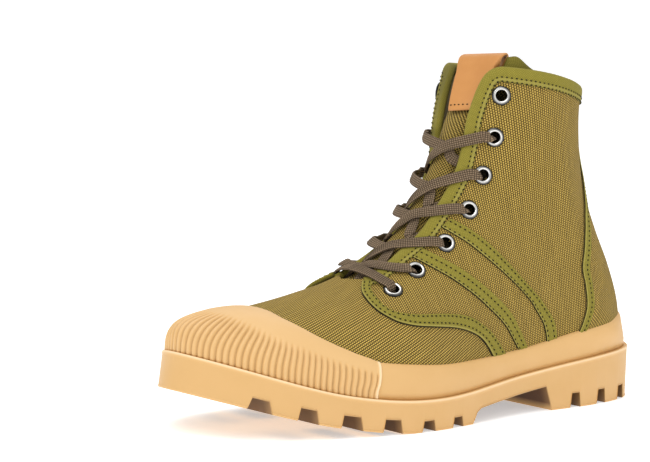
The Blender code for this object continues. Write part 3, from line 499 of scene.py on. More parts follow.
def settle(at, turn, side, target):
    """The row and turn of the place on the last nearest to each target, by steps of least squares from a
    first guess: the miss is shared between the two directions over the surface."""
    for _ in range(SETTLE_STEPS):
        along = (last_point(at + SMALL, turn, side) - last_point(at - SMALL, turn, side)) / (2 * SMALL)
        round_it = (last_point(at, turn + SMALL, side) - last_point(at, turn - SMALL, side)) / (2 * SMALL)
        miss = target - last_point(at, turn, side)
        along_square, round_square = (along**2).sum(-1), (round_it**2).sum(-1)
        both = (along * round_it).sum(-1)
        along_miss, round_miss = (along * miss).sum(-1), (round_it * miss).sum(-1)
        spread = np.maximum(along_square * round_square - both**2, TINY)
        at = np.clip(at + (along_miss * round_square - round_miss * both) / spread, 0.0, COLLAR_ROW)
        turn = np.clip(turn + (round_miss * along_square - along_miss * both) / spread, SMALL, np.pi)
    return at, turn


def share_turns(at, first, last, side, shares):
    """Turns at these shares of the way over each section, from its first turn to its last, by length."""
    fine = first[:, None] + (last - first)[:, None] * np.linspace(0.0, 1.0, FINE)
    along = row_lengths(last_point(at[:, None], fine, side))
    along = along / np.maximum(along[:, -1:], SMALL)
    lane = 2.0 * np.arange(len(at))[:, None]
    turns = np.interp((shares + lane).ravel(), (along + lane).ravel(), fine.ravel())
    return turns.reshape(len(at), -1)


def feather_turns(at, first, side):
    """The turn at which each section in front of the heel meets the rim of the sole; pi further up."""
    fine = first[:, None] + (np.pi - first)[:, None] * np.linspace(0.0, 1.0, FINE)
    line = last_point(at[:, None], fine, side)
    above = line[..., 2] - sole_height(line[..., 0], RIM) - GAP
    under = (above < 0) & (np.arange(FINE) > FINE // 10) & (at[:, None] < HEEL_ROW)
    met = under.any(axis=1)
    k = np.where(met, under.argmax(axis=1), FINE - 1)
    pick = np.arange(len(at))
    drop = above[pick, k - 1] - above[pick, k]
    share = np.where(met, above[pick, k - 1] / np.where(met, drop, 1.0), 1.0)
    return fine[pick, k - 1] + (fine[pick, k] - fine[pick, k - 1]) * share


def eyelet_place(number, side):
    """Row and turn of an eyelet; both sides have it at the same distance from the throat's edge."""
    row, turn = EYELETS[number]
    if side > 0:
        return row, turn
    ends = [float(turn_at(row, throat_half(row, sign), sign)) for sign in (1, -1)]
    outer = last_point(np.full(FINE, row), np.linspace(ends[0], turn, FINE), 1)
    distance = lengths(outer)[-1]
    fine = np.linspace(ends[1], ends[1] + np.pi / 2, FINE)
    along = lengths(last_point(np.full(FINE, row), fine, -1))
    return row, float(np.interp(distance, along, fine))


# Meshes

MERGE = 0.002
SHEET_MERGE = 0.01
SPECK = 0.001


def show(name, data):
    """Puts a mesh, a lamp or a camera into the scene as an object."""
    made = bpy.data.objects.new(name, data)
    bpy.context.scene.collection.objects.link(made)
    return made


def grid_quads(rows, columns, close_rows=False, close_columns=False):
    """Corner numbers of the quads between the rows and columns of a grid of points."""
    i = np.arange(rows if close_rows else rows - 1)[:, None]
    j = np.arange(columns if close_columns else columns - 1)[None, :]
    k, m = (i + 1) % rows, (j + 1) % columns
    corners = np.broadcast_arrays(i * columns + j, i * columns + m, k * columns + m, k * columns + j)
    return np.stack(corners, axis=-1).reshape(-1, 4)


def flat_map(grid, spine):
    """A flat map of a grid in millimetres: length along its spine, and length along each row."""
    along, aside = lengths(spine), row_lengths(grid)
    return np.stack([np.broadcast_to(along[:, None], aside.shape), aside], axis=-1)


def make_piece(name, points, quads, finish, nodes=(), uv=None, closed=True, painted_shading=None):
    """A mesh object of quads: doubles merged, faces out if it is a closed body, riding on the boot and
    standing for the named nodes. Where given, the painted shading is a value at each point for the finish:
    1 painted shade and -1 painted highlight."""
    mesh = bpy.data.meshes.new(name)
    mesh.from_pydata(placed(points).reshape(-1, 3).tolist(), [], quads.tolist())
    if painted_shading is not None:
        layer = mesh.attributes.new("painted_shading", "FLOAT", "POINT")
        layer.data.foreach_set("value", np.asarray(painted_shading, float).ravel())
    if uv is not None:
        layer = mesh.uv_layers.new(name="cloth")
        layer.data.foreach_set("uv", np.asarray(uv, float).reshape(-1, 2)[quads.ravel()].ravel())
    edit = bmesh.new()
    edit.from_mesh(mesh)
    bmesh.ops.remove_doubles(edit, verts=edit.verts, dist=MERGE * MM)
    bmesh.ops.dissolve_degenerate(edit, edges=edit.edges, dist=SPECK * MM)
    if closed:
        bmesh.ops.recalc_face_normals(edit, faces=edit.faces)
    edit.to_mesh(mesh)
    edit.free()
    mesh.materials.append(finish)
    mesh.shade_smooth()
    made = show(name, mesh)
    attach(made, "root")
    if nodes:
        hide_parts(*nodes)
    return made


def add_wall(sheet, thick):
    """Gives a sheet a wall inwards from its face, with the next of its finishes on the inner face."""
    wall = sheet.modifiers.new("wall", "SOLIDIFY")
    wall.thickness = thick * MM
    wall.offset = -1.0
    wall.material_offset = 1
    wall.material_offset_rim = 0


def capped(rings):
    """Rings along a path, with both end rings drawn together to their middles, so that the body is closed."""
    ends = [np.broadcast_to(ring.mean(axis=0), ring.shape) for ring in (rings[0], rings[-1])]
    return np.concatenate([ends[0][None], rings, ends[1][None]])


def ring_piece(name, rings, finish, nodes=(), close_rows=False, painted_shading=None):
    """A closed body from rings of points along a path; the map runs along it and round it, in millimetres."""
    if painted_shading is not None:
        painted_shading = np.broadcast_to(painted_shading, rings.shape[:2])
    if not close_rows:
        rings = capped(rings)
        if painted_shading is not None:
            ends = [np.full((1, painted_shading.shape[1]), np.median(row)) for row in (painted_shading[0], painted_shading[-1])]
            painted_shading = np.concatenate([ends[0], painted_shading, ends[1]])
    uv = flat_map(rings, rings.mean(axis=1))
    quads = grid_quads(*rings.shape[:2], close_rows=close_rows, close_columns=True)
    return make_piece(name, rings, quads, finish, nodes, uv, painted_shading=painted_shading)


def pressed(form, points):
    """The nearest places on the form and the directions out of it there: loose points are wrapped on to it
    twice, at no height and at one millimetre."""
    mesh = bpy.data.meshes.new("loose points")
    mesh.vertices.add(points.size // 3)
    mesh.vertices.foreach_set("co", placed(points).ravel())
    item = show("loose points", mesh)
    wrap = item.modifiers.new("wrap", "SHRINKWRAP")
    wrap.target = form
    wrap.wrap_method = "NEAREST_SURFACEPOINT"
    wrap.wrap_mode = "ABOVE_SURFACE"
    found = []
    for height in (0.0, MM):
        wrap.offset = height
        graph = bpy.context.evaluated_depsgraph_get()
        graph.update()
        values = np.empty(points.size)
        item.evaluated_get(graph).data.vertices.foreach_get("co", values)
        found.append(values.reshape(points.shape))
    bpy.data.objects.remove(item)
    bpy.data.meshes.remove(mesh)
    return found[0] / MM + ORIGIN, unit(found[1] - found[0])


# Shader nodes


def feed(tree, socket, value):
    """Gives a socket a value, or a link from another socket."""
    if isinstance(value, bpy.types.NodeSocket):
        tree.links.new(value, socket)
    else:
        socket.default_value = value


def add_node(tree, kind, inputs=None, **settings):
    """A node with its settings; each input takes a value or a link from a socket."""
    made = tree.nodes.new(kind)
    for name, value in settings.items():
        setattr(made, name, value)
    for name, value in (inputs or {}).items():
        feed(tree, made.inputs[name], value)
    return made


def calc(tree, operation, *values):
    """The result of a math node on sockets or numbers."""
    made = add_node(tree, "ShaderNodeMath", dict(enumerate(values)), operation=operation)
    return made.outputs[0]


def blend(tree, factor, first, second, mode="MIX"):
    """The result of mixing two colours."""
    made = add_node(tree, "ShaderNodeMix", data_type="RGBA", blend_type=mode)
    for name, value in (("Factor_Float", factor), ("A_Color", first), ("B_Color", second)):
        feed(tree, next(item for item in made.inputs if item.identifier == name), value)
    return next(item for item in made.outputs if item.identifier == "Result_Color")


def start_group(name, inputs, outputs):
    """A shader node group with named sockets: each is a name, a socket type and a value."""
    tree = bpy.data.node_groups.new(name, "ShaderNodeTree")
    for label, kind, value in inputs:
        socket = tree.interface.new_socket(name=label, in_out="INPUT", socket_type=kind)
        if value is not None:
            socket.default_value = value
    for label, kind in outputs:
        tree.interface.new_socket(name=label, in_out="OUTPUT", socket_type=kind)
    source = tree.nodes.new("NodeGroupInput")
    sink = tree.nodes.new("NodeGroupOutput")
    return tree, source.outputs, sink.inputs


WEAVE_DIP = 0.55
WEAVE_DARKEST = 0.02
STREAK_SCALES = (0.9, 0.06)


def weave_group():
    """Woven threads: the cell number of each crossing decides which thread is on top. In faced cloth the warp
    is on top everywhere, and its dips are moved by half a step on every second thread. A thread's height is
    round across it and falls where it dips, and streaks along the threads vary its colour. Where a thread is
    low its colour is darkened, as painted shade in the gaps and dips."""
    tree, given, result = start_group(
        "weave",
        [("Vector", "NodeSocketVector", None), ("Pitch", "NodeSocketFloat", 1.0),
         ("Warp", "NodeSocketColor", None), ("Weft", "NodeSocketColor", None),
         ("Streak", "NodeSocketFloat", 0.3), ("Shade", "NodeSocketFloat", 0.5),
         ("Faced", "NodeSocketFloat", 0.0)],
        [("Color", "NodeSocketColor"), ("Height", "NodeSocketFloat")])
    parts = add_node(tree, "ShaderNodeSeparateXYZ", {"Vector": given["Vector"]}).outputs
    u = calc(tree, "DIVIDE", parts["X"], given["Pitch"])
    v = calc(tree, "DIVIDE", parts["Y"], given["Pitch"])
    odd = calc(tree, "FLOORED_MODULO", calc(tree, "FLOOR", u), 2.0)
    v = calc(tree, "MULTIPLY_ADD", odd, calc(tree, "MULTIPLY", given["Faced"], 0.5), v)
    cells = calc(tree, "ADD", calc(tree, "FLOOR", u), calc(tree, "FLOOR", v))
    open_weave = calc(tree, "SUBTRACT", 1.0, given["Faced"])
    under = calc(tree, "MULTIPLY", calc(tree, "FLOORED_MODULO", cells, 2.0), open_weave)
    rounds = []
    for place in (u, v):
        middle = calc(tree, "SUBTRACT", calc(tree, "FRACT", place), 0.5)
        square = calc(tree, "MULTIPLY", calc(tree, "MULTIPLY", middle, middle), 4.0)
        rounds.append(calc(tree, "SUBTRACT", 1.0, square))
    heights = []
    for across, along in (rounds, rounds[::-1]):
        dip = calc(tree, "MULTIPLY_ADD", along, WEAVE_DIP, 1.0 - WEAVE_DIP)
        heights.append(calc(tree, "MULTIPLY", calc(tree, "SQRT", across), dip))
    rest = calc(tree, "SUBTRACT", 1.0, under)
    height = calc(tree, "ADD", calc(tree, "MULTIPLY", heights[0], rest),
                  calc(tree, "MULTIPLY", heights[1], under))
    threads = []
    for name, scales in (("Warp", STREAK_SCALES), ("Weft", STREAK_SCALES[::-1])):
        stretched = add_node(tree, "ShaderNodeCombineXYZ",
                             {"X": calc(tree, "MULTIPLY", u, scales[0]),
                              "Y": calc(tree, "MULTIPLY", v, scales[1])})
        noise = add_node(tree, "ShaderNodeTexNoise",
                         {"Vector": stretched.outputs[0], "Scale": 1.0, "Detail": 2.0},
                         noise_dimensions="2D")
        swing = calc(tree, "SUBTRACT", noise.outputs["Fac"], 0.5)
        gain = calc(tree, "MULTIPLY_ADD", swing, given["Streak"], 1.0)
        grey = add_node(tree, "ShaderNodeCombineColor", {"Red": gain, "Green": gain, "Blue": gain})
        threads.append(blend(tree, 1.0, given[name], grey.outputs[0], "MULTIPLY"))
    colour = blend(tree, under, threads[0], threads[1])
    # Painted shade: the colour darkens where a thread is low, in the gaps and dips, by the Shade, down to the
    # darkest share
    lit = calc(tree, "MULTIPLY_ADD", height, given["Shade"], calc(tree, "SUBTRACT", 1.0, given["Shade"]))
    lit = calc(tree, "MAXIMUM", lit, WEAVE_DARKEST)
    shade = add_node(tree, "ShaderNodeCombineColor", {"Red": lit, "Green": lit, "Blue": lit})
    tree.links.new(blend(tree, 1.0, colour, shade.outputs[0], "MULTIPLY"), result["Color"])
    tree.links.new(height, result["Height"])
    return tree


PATCH_NOISE = (0.32, 0.68)


def mottle_group():
    """Uneven colour: soft noise takes a colour over to that of its patches by an amount."""
    tree, given, result = start_group(
        "mottle",
        [("Vector", "NodeSocketVector", None), ("Scale", "NodeSocketFloat", 40.0),
         ("Amount", "NodeSocketFloat", 0.2), ("Color", "NodeSocketColor", None),
         ("Patch", "NodeSocketColor", None)],
        [("Color", "NodeSocketColor"), ("Mask", "NodeSocketFloat")])
    noise = add_node(tree, "ShaderNodeTexNoise",
                     {"Vector": given["Vector"], "Scale": given["Scale"], "Detail": 4.0, "Roughness": 0.6})
    mask = add_node(tree, "ShaderNodeMapRange",
                    {"Value": noise.outputs["Fac"], "From Min": PATCH_NOISE[0], "From Max": PATCH_NOISE[1]})
    share = calc(tree, "MULTIPLY", mask.outputs["Result"], given["Amount"])
    tree.links.new(blend(tree, share, given["Color"], given["Patch"]), result["Color"])
    tree.links.new(mask.outputs["Result"], result["Mask"])
    return tree


def grain_group():
    """Fine surface grain: the distance to scattered points, with noise over it, as a height."""
    tree, given, result = start_group(
        "grain",
        [("Vector", "NodeSocketVector", None), ("Scale", "NodeSocketFloat", 900.0),
         ("Pores", "NodeSocketFloat", 0.5)],
        [("Height", "NodeSocketFloat")])
    cells = add_node(tree, "ShaderNodeTexVoronoi", {"Vector": given["Vector"], "Scale": given["Scale"]})
    noise = add_node(tree, "ShaderNodeTexNoise",
                     {"Vector": given["Vector"], "Scale": given["Scale"], "Detail": 3.0})
    pores = calc(tree, "MULTIPLY", cells.outputs["Distance"], given["Pores"])
    rest = calc(tree, "MULTIPLY", noise.outputs["Fac"], calc(tree, "SUBTRACT", 1.0, given["Pores"]))
    tree.links.new(calc(tree, "ADD", pores, rest), result["Height"])
    return tree


def start_finish(name, roughness, metallic=0.0, sheen=0.0):
    """A finish with one shader; returns it with its tree and shader."""
    made = bpy.data.materials.new(name)
    made.use_nodes = True
    tree = made.node_tree
    shader = tree.nodes["Principled BSDF"]
    shader.inputs["Roughness"].default_value = roughness
    shader.inputs["Metallic"].default_value = metallic
    shader.inputs["Sheen Weight"].default_value = sheen
    return made, tree, shader


def use_group(tree, group, inputs):
    """A node group placed in a material, with its values."""
    return add_node(tree, "ShaderNodeGroup", inputs, node_tree=group).outputs


def bump(tree, shader, height, depth):
    """A height, in shares of a depth in millimetres, that turns the shader's normal."""
    made = add_node(tree, "ShaderNodeBump", {"Height": height, "Distance": depth * MM, "Strength": 1.0})
    tree.links.new(made.outputs["Normal"], shader.inputs["Normal"])


# The colours of painted shade and painted highlight: the dark and the pale colour that a piece's painted
# shading goes over to
CLOTH_SHADE_AND_HIGHLIGHT = (0.018, 0.016, 0.006), (0.50, 0.43, 0.13)
RUBBER_SHADE_AND_HIGHLIGHT = (0.105, 0.037, 0.005), (0.93, 0.70, 0.43)
METAL_SHADE_AND_HIGHLIGHT = (0.012, 0.011, 0.009), (0.9, 0.9, 0.88)


def with_painted_shading(tree, colour, painted_colours):
    """A colour with painted shade and highlight: it goes over to a dark one where the piece's own values rise
    to 1, and to a pale one where they fall to -1."""
    value = add_node(tree, "ShaderNodeAttribute", attribute_name="painted_shading").outputs["Fac"]
    dark = calc(tree, "MAXIMUM", value, 0.0)
    pale = calc(tree, "MAXIMUM", calc(tree, "MULTIPLY", value, -1.0), 0.0)
    return blend(tree, pale, blend(tree, dark, colour, (*painted_colours[0], 1.0)), (*painted_colours[1], 1.0))


CLOTH_ROUGHNESS = 0.9
CLOTH_SHEEN = 0.04
CLOTH_SPECULAR = 0.15
CLOTH_PATCHES = {"Scale": 38.0, "Amount": 0.22}
MOULDED_PATCHES = 55.0
MOULDED_GLOSS = (-0.06, 0.08)
METAL_COLOUR = (0.80, 0.79, 0.76, 1.0)
METAL_TARNISH = (0.56, 0.55, 0.52, 1.0)
METAL_PATCHES = {"Scale": 420.0, "Amount": 0.5}
METAL_ROUGHNESS = 0.24
METAL_GLOSS = (0.2, 0.38)


def cloth_finish(name, groups, pitch, warp, weft, patch, streak=0.5, shade=0.55, depth=0.35, angle=0.0,
                 faced=0.0):
    """Woven cloth on the piece's flat map: the weave, with soft patches of another colour over it, and its
    painted shading: painted shade such as the shadow line under a tape's edge, and painted highlights."""
    made, tree, shader = start_finish(name, CLOTH_ROUGHNESS, sheen=CLOTH_SHEEN)
    shader.inputs["Specular IOR Level"].default_value = CLOTH_SPECULAR
    place = add_node(tree, "ShaderNodeUVMap", uv_map="cloth").outputs["UV"]
    if angle:
        turned = add_node(tree, "ShaderNodeMapping",
                          {"Vector": place, "Rotation": (0.0, 0.0, np.radians(angle))})
        place = turned.outputs["Vector"]
    threads = use_group(tree, groups["weave"], {
        "Vector": place, "Pitch": pitch, "Warp": (*warp, 1.0), "Weft": (*weft, 1.0),
        "Streak": streak, "Shade": shade, "Faced": faced})
    where = add_node(tree, "ShaderNodeTexCoord").outputs["Object"]
    worn = use_group(tree, groups["mottle"], {
        "Vector": where, "Color": threads["Color"], "Patch": (*patch, 1.0), **CLOTH_PATCHES})
    tree.links.new(with_painted_shading(tree, worn["Color"], CLOTH_SHADE_AND_HIGHLIGHT), shader.inputs["Base Color"])
    bump(tree, shader, threads["Height"], depth)
    return made


def moulded_finish(name, groups, colour, patch, roughness, scale, pores, depth, amount=0.25):
    """Rubber or leather: soft patches of colour, painted shade and highlight from the piece's painted
    shading, and a fine grain in its height and gloss.
    """
    made, tree, shader = start_finish(name, roughness)
    where = add_node(tree, "ShaderNodeTexCoord").outputs["Object"]
    worn = use_group(tree, groups["mottle"], {
        "Vector": where, "Scale": MOULDED_PATCHES, "Amount": amount, "Color": (*colour, 1.0),
        "Patch": (*patch, 1.0)})
    tree.links.new(with_painted_shading(tree, worn["Color"], RUBBER_SHADE_AND_HIGHLIGHT), shader.inputs["Base Color"])
    gloss = add_node(tree, "ShaderNodeMapRange",
                     {"Value": worn["Mask"], "To Min": roughness + MOULDED_GLOSS[0],
                      "To Max": roughness + MOULDED_GLOSS[1]})
    tree.links.new(gloss.outputs["Result"], shader.inputs["Roughness"])
    height = use_group(tree, groups["grain"], {"Vector": where, "Scale": scale, "Pores": pores})["Height"]
    bump(tree, shader, height, depth)
    return made


def metal_finish(groups):
    """Plated metal of the eyelets, with faint tarnish, and the painted shade and highlight of their section.
    """
    made, tree, shader = start_finish("eyelet metal", METAL_ROUGHNESS, metallic=1.0)
    where = add_node(tree, "ShaderNodeTexCoord").outputs["Object"]
    worn = use_group(tree, groups["mottle"], {
        "Vector": where, "Color": METAL_COLOUR, "Patch": METAL_TARNISH, **METAL_PATCHES})
    tree.links.new(with_painted_shading(tree, worn["Color"], METAL_SHADE_AND_HIGHLIGHT), shader.inputs["Base Color"])
    gloss = add_node(tree, "ShaderNodeMapRange",
                     {"Value": worn["Mask"], "To Min": METAL_GLOSS[0], "To Max": METAL_GLOSS[1]})
    tree.links.new(gloss.outputs["Result"], shader.inputs["Roughness"])
    return made


def make_finishes():
    """Every finish of the boot, by name."""
    groups = {"weave": weave_group(), "mottle": mottle_group(), "grain": grain_group()}
    canvas = {"pitch": 1.2, "warp": (0.655, 0.443, 0.099), "weft": (0.24, 0.17, 0.03),
              "patch": (0.26, 0.176, 0.036), "shade": 1.7, "depth": 0.5, "faced": 1.0}
    return {
        "canvas": cloth_finish("olive canvas", groups, angle=-7.0, **canvas),
        "counter": cloth_finish("counter canvas", groups, angle=83.0, **canvas),
        "tongue": cloth_finish("tongue canvas", groups, pitch=0.82, warp=(0.68, 0.47, 0.11),
                               weft=(0.066, 0.046, 0.008), patch=(0.20, 0.14, 0.03), shade=0.68, depth=0.5,
                               angle=12.0),
        "tape": cloth_finish("moss tape", groups, pitch=0.6, warp=(0.335, 0.278, 0.048),
                             weft=(0.232, 0.203, 0.027), patch=(0.22, 0.19, 0.028), streak=0.4, shade=0.3,
                             depth=0.14),
        "lining": cloth_finish("cotton lining", groups, pitch=0.7, warp=(0.34, 0.28, 0.16),
                               weft=(0.28, 0.23, 0.12), patch=(0.22, 0.17, 0.09), shade=0.35, depth=0.15),
        "lace": cloth_finish("lace braid", groups, pitch=0.8, warp=(0.34, 0.24, 0.15),
                             weft=(0.09, 0.062, 0.038), patch=(0.12, 0.083, 0.05), shade=0.6, depth=0.3,
                             angle=45.0),
        "thread": cloth_finish("sewing thread", groups, pitch=0.5, warp=(0.020, 0.016, 0.009),
                               weft=(0.012, 0.010, 0.006), patch=(0.016, 0.013, 0.007), depth=0.05,
                               angle=30.0),
        "rubber": moulded_finish("caramel rubber", groups, (0.67, 0.405, 0.155), (0.61, 0.358, 0.125),
                                 roughness=0.52, scale=1400.0, pores=0.25, depth=0.03),
        "leather": moulded_finish("tab leather", groups, (0.545, 0.240, 0.061), (0.46, 0.185, 0.042),
                                  roughness=0.5, scale=1100.0, pores=0.6, depth=0.10, amount=0.5),
        "badge": moulded_finish("badge leather", groups, (0.30, 0.105, 0.035), (0.20, 0.065, 0.02),
                                roughness=0.6, scale=1100.0, pores=0.6, depth=0.10, amount=0.6),
        "metal": metal_finish(groups),
    }


# Canvas: vamp, quarters and tongue

UPPER_STRETCHES = (
    # first row, last row, number of lines
    (0.0, 9.0, 52),
    (9.0, 10.0, 22),
    (10.0, 15.0, 66),
    (15.0, 22.0, 74),
)
UPPER_ROWS = np.unique(np.concatenate([np.linspace(*stretch) for stretch in UPPER_STRETCHES]))
UPPER_STEPS = 84
HOLE_RADIUS = 3.3
UP_TURN = 90.0


def unwrap(item):
    """Flattens an open sheet with its angles kept, then scales the map to millimetres by its edge lengths and
    turns it so that the way up on the boot lies at a fixed angle."""
    bpy.context.view_layer.objects.active = item
    item.select_set(True)
    bpy.ops.object.mode_set(mode="EDIT")
    bpy.ops.mesh.select_all(action="SELECT")
    bpy.ops.uv.unwrap(method="CONFORMAL", margin=0.0)
    bpy.ops.object.mode_set(mode="OBJECT")
    item.select_set(False)
    mesh = item.data
    count = len(mesh.loops)
    corner = np.empty(count, int)
    mesh.loops.foreach_get("vertex_index", corner)
    flat = np.empty(2 * count)
    mesh.uv_layers.active.data.foreach_get("uv", flat)
    flat = flat.reshape(-1, 2)
    points = np.empty(3 * len(mesh.vertices))
    mesh.vertices.foreach_get("co", points)
    points = points.reshape(-1, 3)[corner] / MM
    ahead = np.arange(count - 1)
    true_length = np.linalg.norm(points[ahead + 1] - points[ahead], axis=1)
    flat_length = np.linalg.norm(flat[ahead + 1] - flat[ahead], axis=1)
    real = flat_length > TINY
    flat = flat * np.median(true_length[real] / flat_length[real])
    middle = flat - flat.mean(axis=0)
    climb = np.linalg.lstsq(middle, points[:, 2] - points[:, 2].mean(), rcond=None)[0]
    spin = np.radians(UP_TURN) - np.arctan2(climb[1], climb[0])
    turned = np.stack([middle[:, 0] * np.cos(spin) - middle[:, 1] * np.sin(spin),
                       middle[:, 0] * np.sin(spin) + middle[:, 1] * np.cos(spin)], axis=1)
    mesh.uv_layers.active.data.foreach_set("uv", turned.ravel())


def upper_grid(side):
    """Rows, turns and points of one side of the upper, from the throat or ridge to the feather edge or
    seam."""
    first = turn_at(UPPER_ROWS, throat_half(UPPER_ROWS, side), side)
    last = feather_turns(UPPER_ROWS, first, side)
    turns = share_turns(UPPER_ROWS, first, last, side, np.linspace(0.0, 1.0, UPPER_STEPS + 1)[None, :])
    rows = np.broadcast_to(UPPER_ROWS[:, None], turns.shape)
    return rows, turns, laid(rows, turns, side, 0.0)


def sheet_object(name, points, quads):
    """A plain mesh object for a part of the canvas, with its doubles merged."""
    mesh = bpy.data.meshes.new(name)
    mesh.from_pydata(placed(points).tolist(), [], quads.tolist())
    mesh.uv_layers.new(name="cloth")
    edit = bmesh.new()
    edit.from_mesh(mesh)
    bmesh.ops.remove_doubles(edit, verts=edit.verts, dist=SHEET_MERGE * MM)
    bmesh.ops.dissolve_degenerate(edit, edges=edit.edges, dist=SHEET_MERGE * MM)
    loose = [vertex for vertex in edit.verts if not vertex.link_faces]
    bmesh.ops.delete(edit, geom=loose, context="VERTS")
    edit.to_mesh(mesh)
    edit.free()
    return show(name, mesh)


def make_upper(finishes):
    """The canvas upper: both sides of the last with round holes at the eyelets. The vamp in front of the
    quarters' edge and each quarter are flattened apart, so that their weaves run as they are cut."""
    seam = np.array(QUARTER_TAPE)
    seam_turns = np.concatenate([[0.0], seam[:, 1]])
    seam_rows = np.concatenate([[THROAT[0][0]], (seam[:, 0] + seam[:, 2]) / 2])
    quads = grid_quads(len(UPPER_ROWS), UPPER_STEPS + 1)
    shapes = {}
    for side in (1, -1):
        rows, turns, points = upper_grid(side)
        flat = points.reshape(-1, 3)
        middles = flat[quads].mean(axis=1)
        holes = np.array([laid(*eyelet_place(number, side), side, 0.0) for number in range(len(EYELETS))])
        reach = np.linalg.norm(middles[:, None] - holes[None], axis=2).min(axis=1)
        kept = quads[reach > HOLE_RADIUS]
        kept = kept if side > 0 else kept[:, ::-1]
        row_middle = rows.reshape(-1)[kept].mean(axis=1)
        turn_middle = turns.reshape(-1)[kept].mean(axis=1)
        front = row_middle < np.interp(turn_middle, seam_turns, seam_rows)
        shapes[side] = flat, kept[front], kept[~front]
    count = len(shapes[1][0])
    sheets = [sheet_object("vamp", np.concatenate([shapes[1][0], shapes[-1][0]]),
                           np.concatenate([shapes[1][1], shapes[-1][1] + count]))]
    for side in (1, -1):
        sheets.append(sheet_object("quarter", shapes[side][0], shapes[side][2]))
    for sheet in sheets:
        unwrap(sheet)
    joined = bmesh.new()
    for sheet in sheets:
        joined.from_mesh(sheet.data)
        old = sheet.data
        bpy.data.objects.remove(sheet)
        bpy.data.meshes.remove(old)
    bmesh.ops.remove_doubles(joined, verts=joined.verts, dist=SHEET_MERGE * MM)
    mesh = bpy.data.meshes.new("canvas_upper")
    joined.to_mesh(mesh)
    joined.free()
    mesh.materials.append(finishes["canvas"])
    mesh.materials.append(finishes["lining"])
    mesh.shade_smooth()
    made = show("canvas_upper", mesh)
    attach(made, "root")
    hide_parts("upper")
    return made


TONGUE_START = 8.8
TONGUE_STEPS = 120
TONGUE_COLUMNS = 60
TONGUE_THICK = 1.6
TONGUE_STEADY_ROW = 10.0
TONGUE_BOUND = 21.3

# Its laps under the outer facing, and under the inner one at the tab's foot and at the collar
TONGUE_LAP = 17.0
TONGUE_INNER_LAPS = (9.0, 5.0)

# Its depth under the canvas, more under the facings from a little inside their edges, and room for the tab
TONGUE_DROP = 0.8
TONGUE_SINK = 1.7
TONGUE_SINK_FROM = 4.0
TONGUE_SINK_TO = 1.0
TAB_ROOM = 1.5
TAB_ROOM_ROWS = (16.5, 18.5)

# Its swell, the rise of its top with the places across where that begins and ends, and the straight front
TONGUE_SWELL = 0.7
TONGUE_SWELL_ROWS = (9.6, 11.0)
TONGUE_RISE = 0.8
TONGUE_RISE_ROW = 20.5
TONGUE_RISES = (-16.0, -9.0)
TONGUE_FALLS = (23.0, 32.0)
CHORD_ENDS = (-13.5, 20.6)
STRAIGHT_ROWS = (18.0, 20.3)

# Its shadow: tone, reach from the outer and the inner facing's edge, and how the outer one fades at the top
TONGUE_TONE = 0.92
OUTER_SHADOW = (-0.5, 2.5)
INNER_SHADOW = (-5.0, -1.5)
SHADOW_FADE = 0.7
SHADOW_FADE_ROWS = (20.4, 21.4)


def straightened(points, across, share):
    """Rows of points across the boot's front, drawn back to the straight line between two places of each row
    by a share; a point behind that line stays where it is."""
    lines = points.reshape(-1, *points.shape[-2:])
    places = np.broadcast_to(across, lines.shape[:2])
    ends = []
    for place in CHORD_ENDS:
        column = np.abs(places - place).argmin(axis=1)
        ends.append(lines[np.arange(len(lines)), column])
    run = (lines[..., 1] - ends[0][:, None, 1]) / (ends[1] - ends[0])[:, None, 1]
    chord = ends[0][:, None, 0] + (ends[1] - ends[0])[:, None, 0] * run
    moved = lines.copy()
    moved[..., 0] -= np.maximum(lines[..., 0] - chord, 0.0) * share
    return moved.reshape(points.shape)


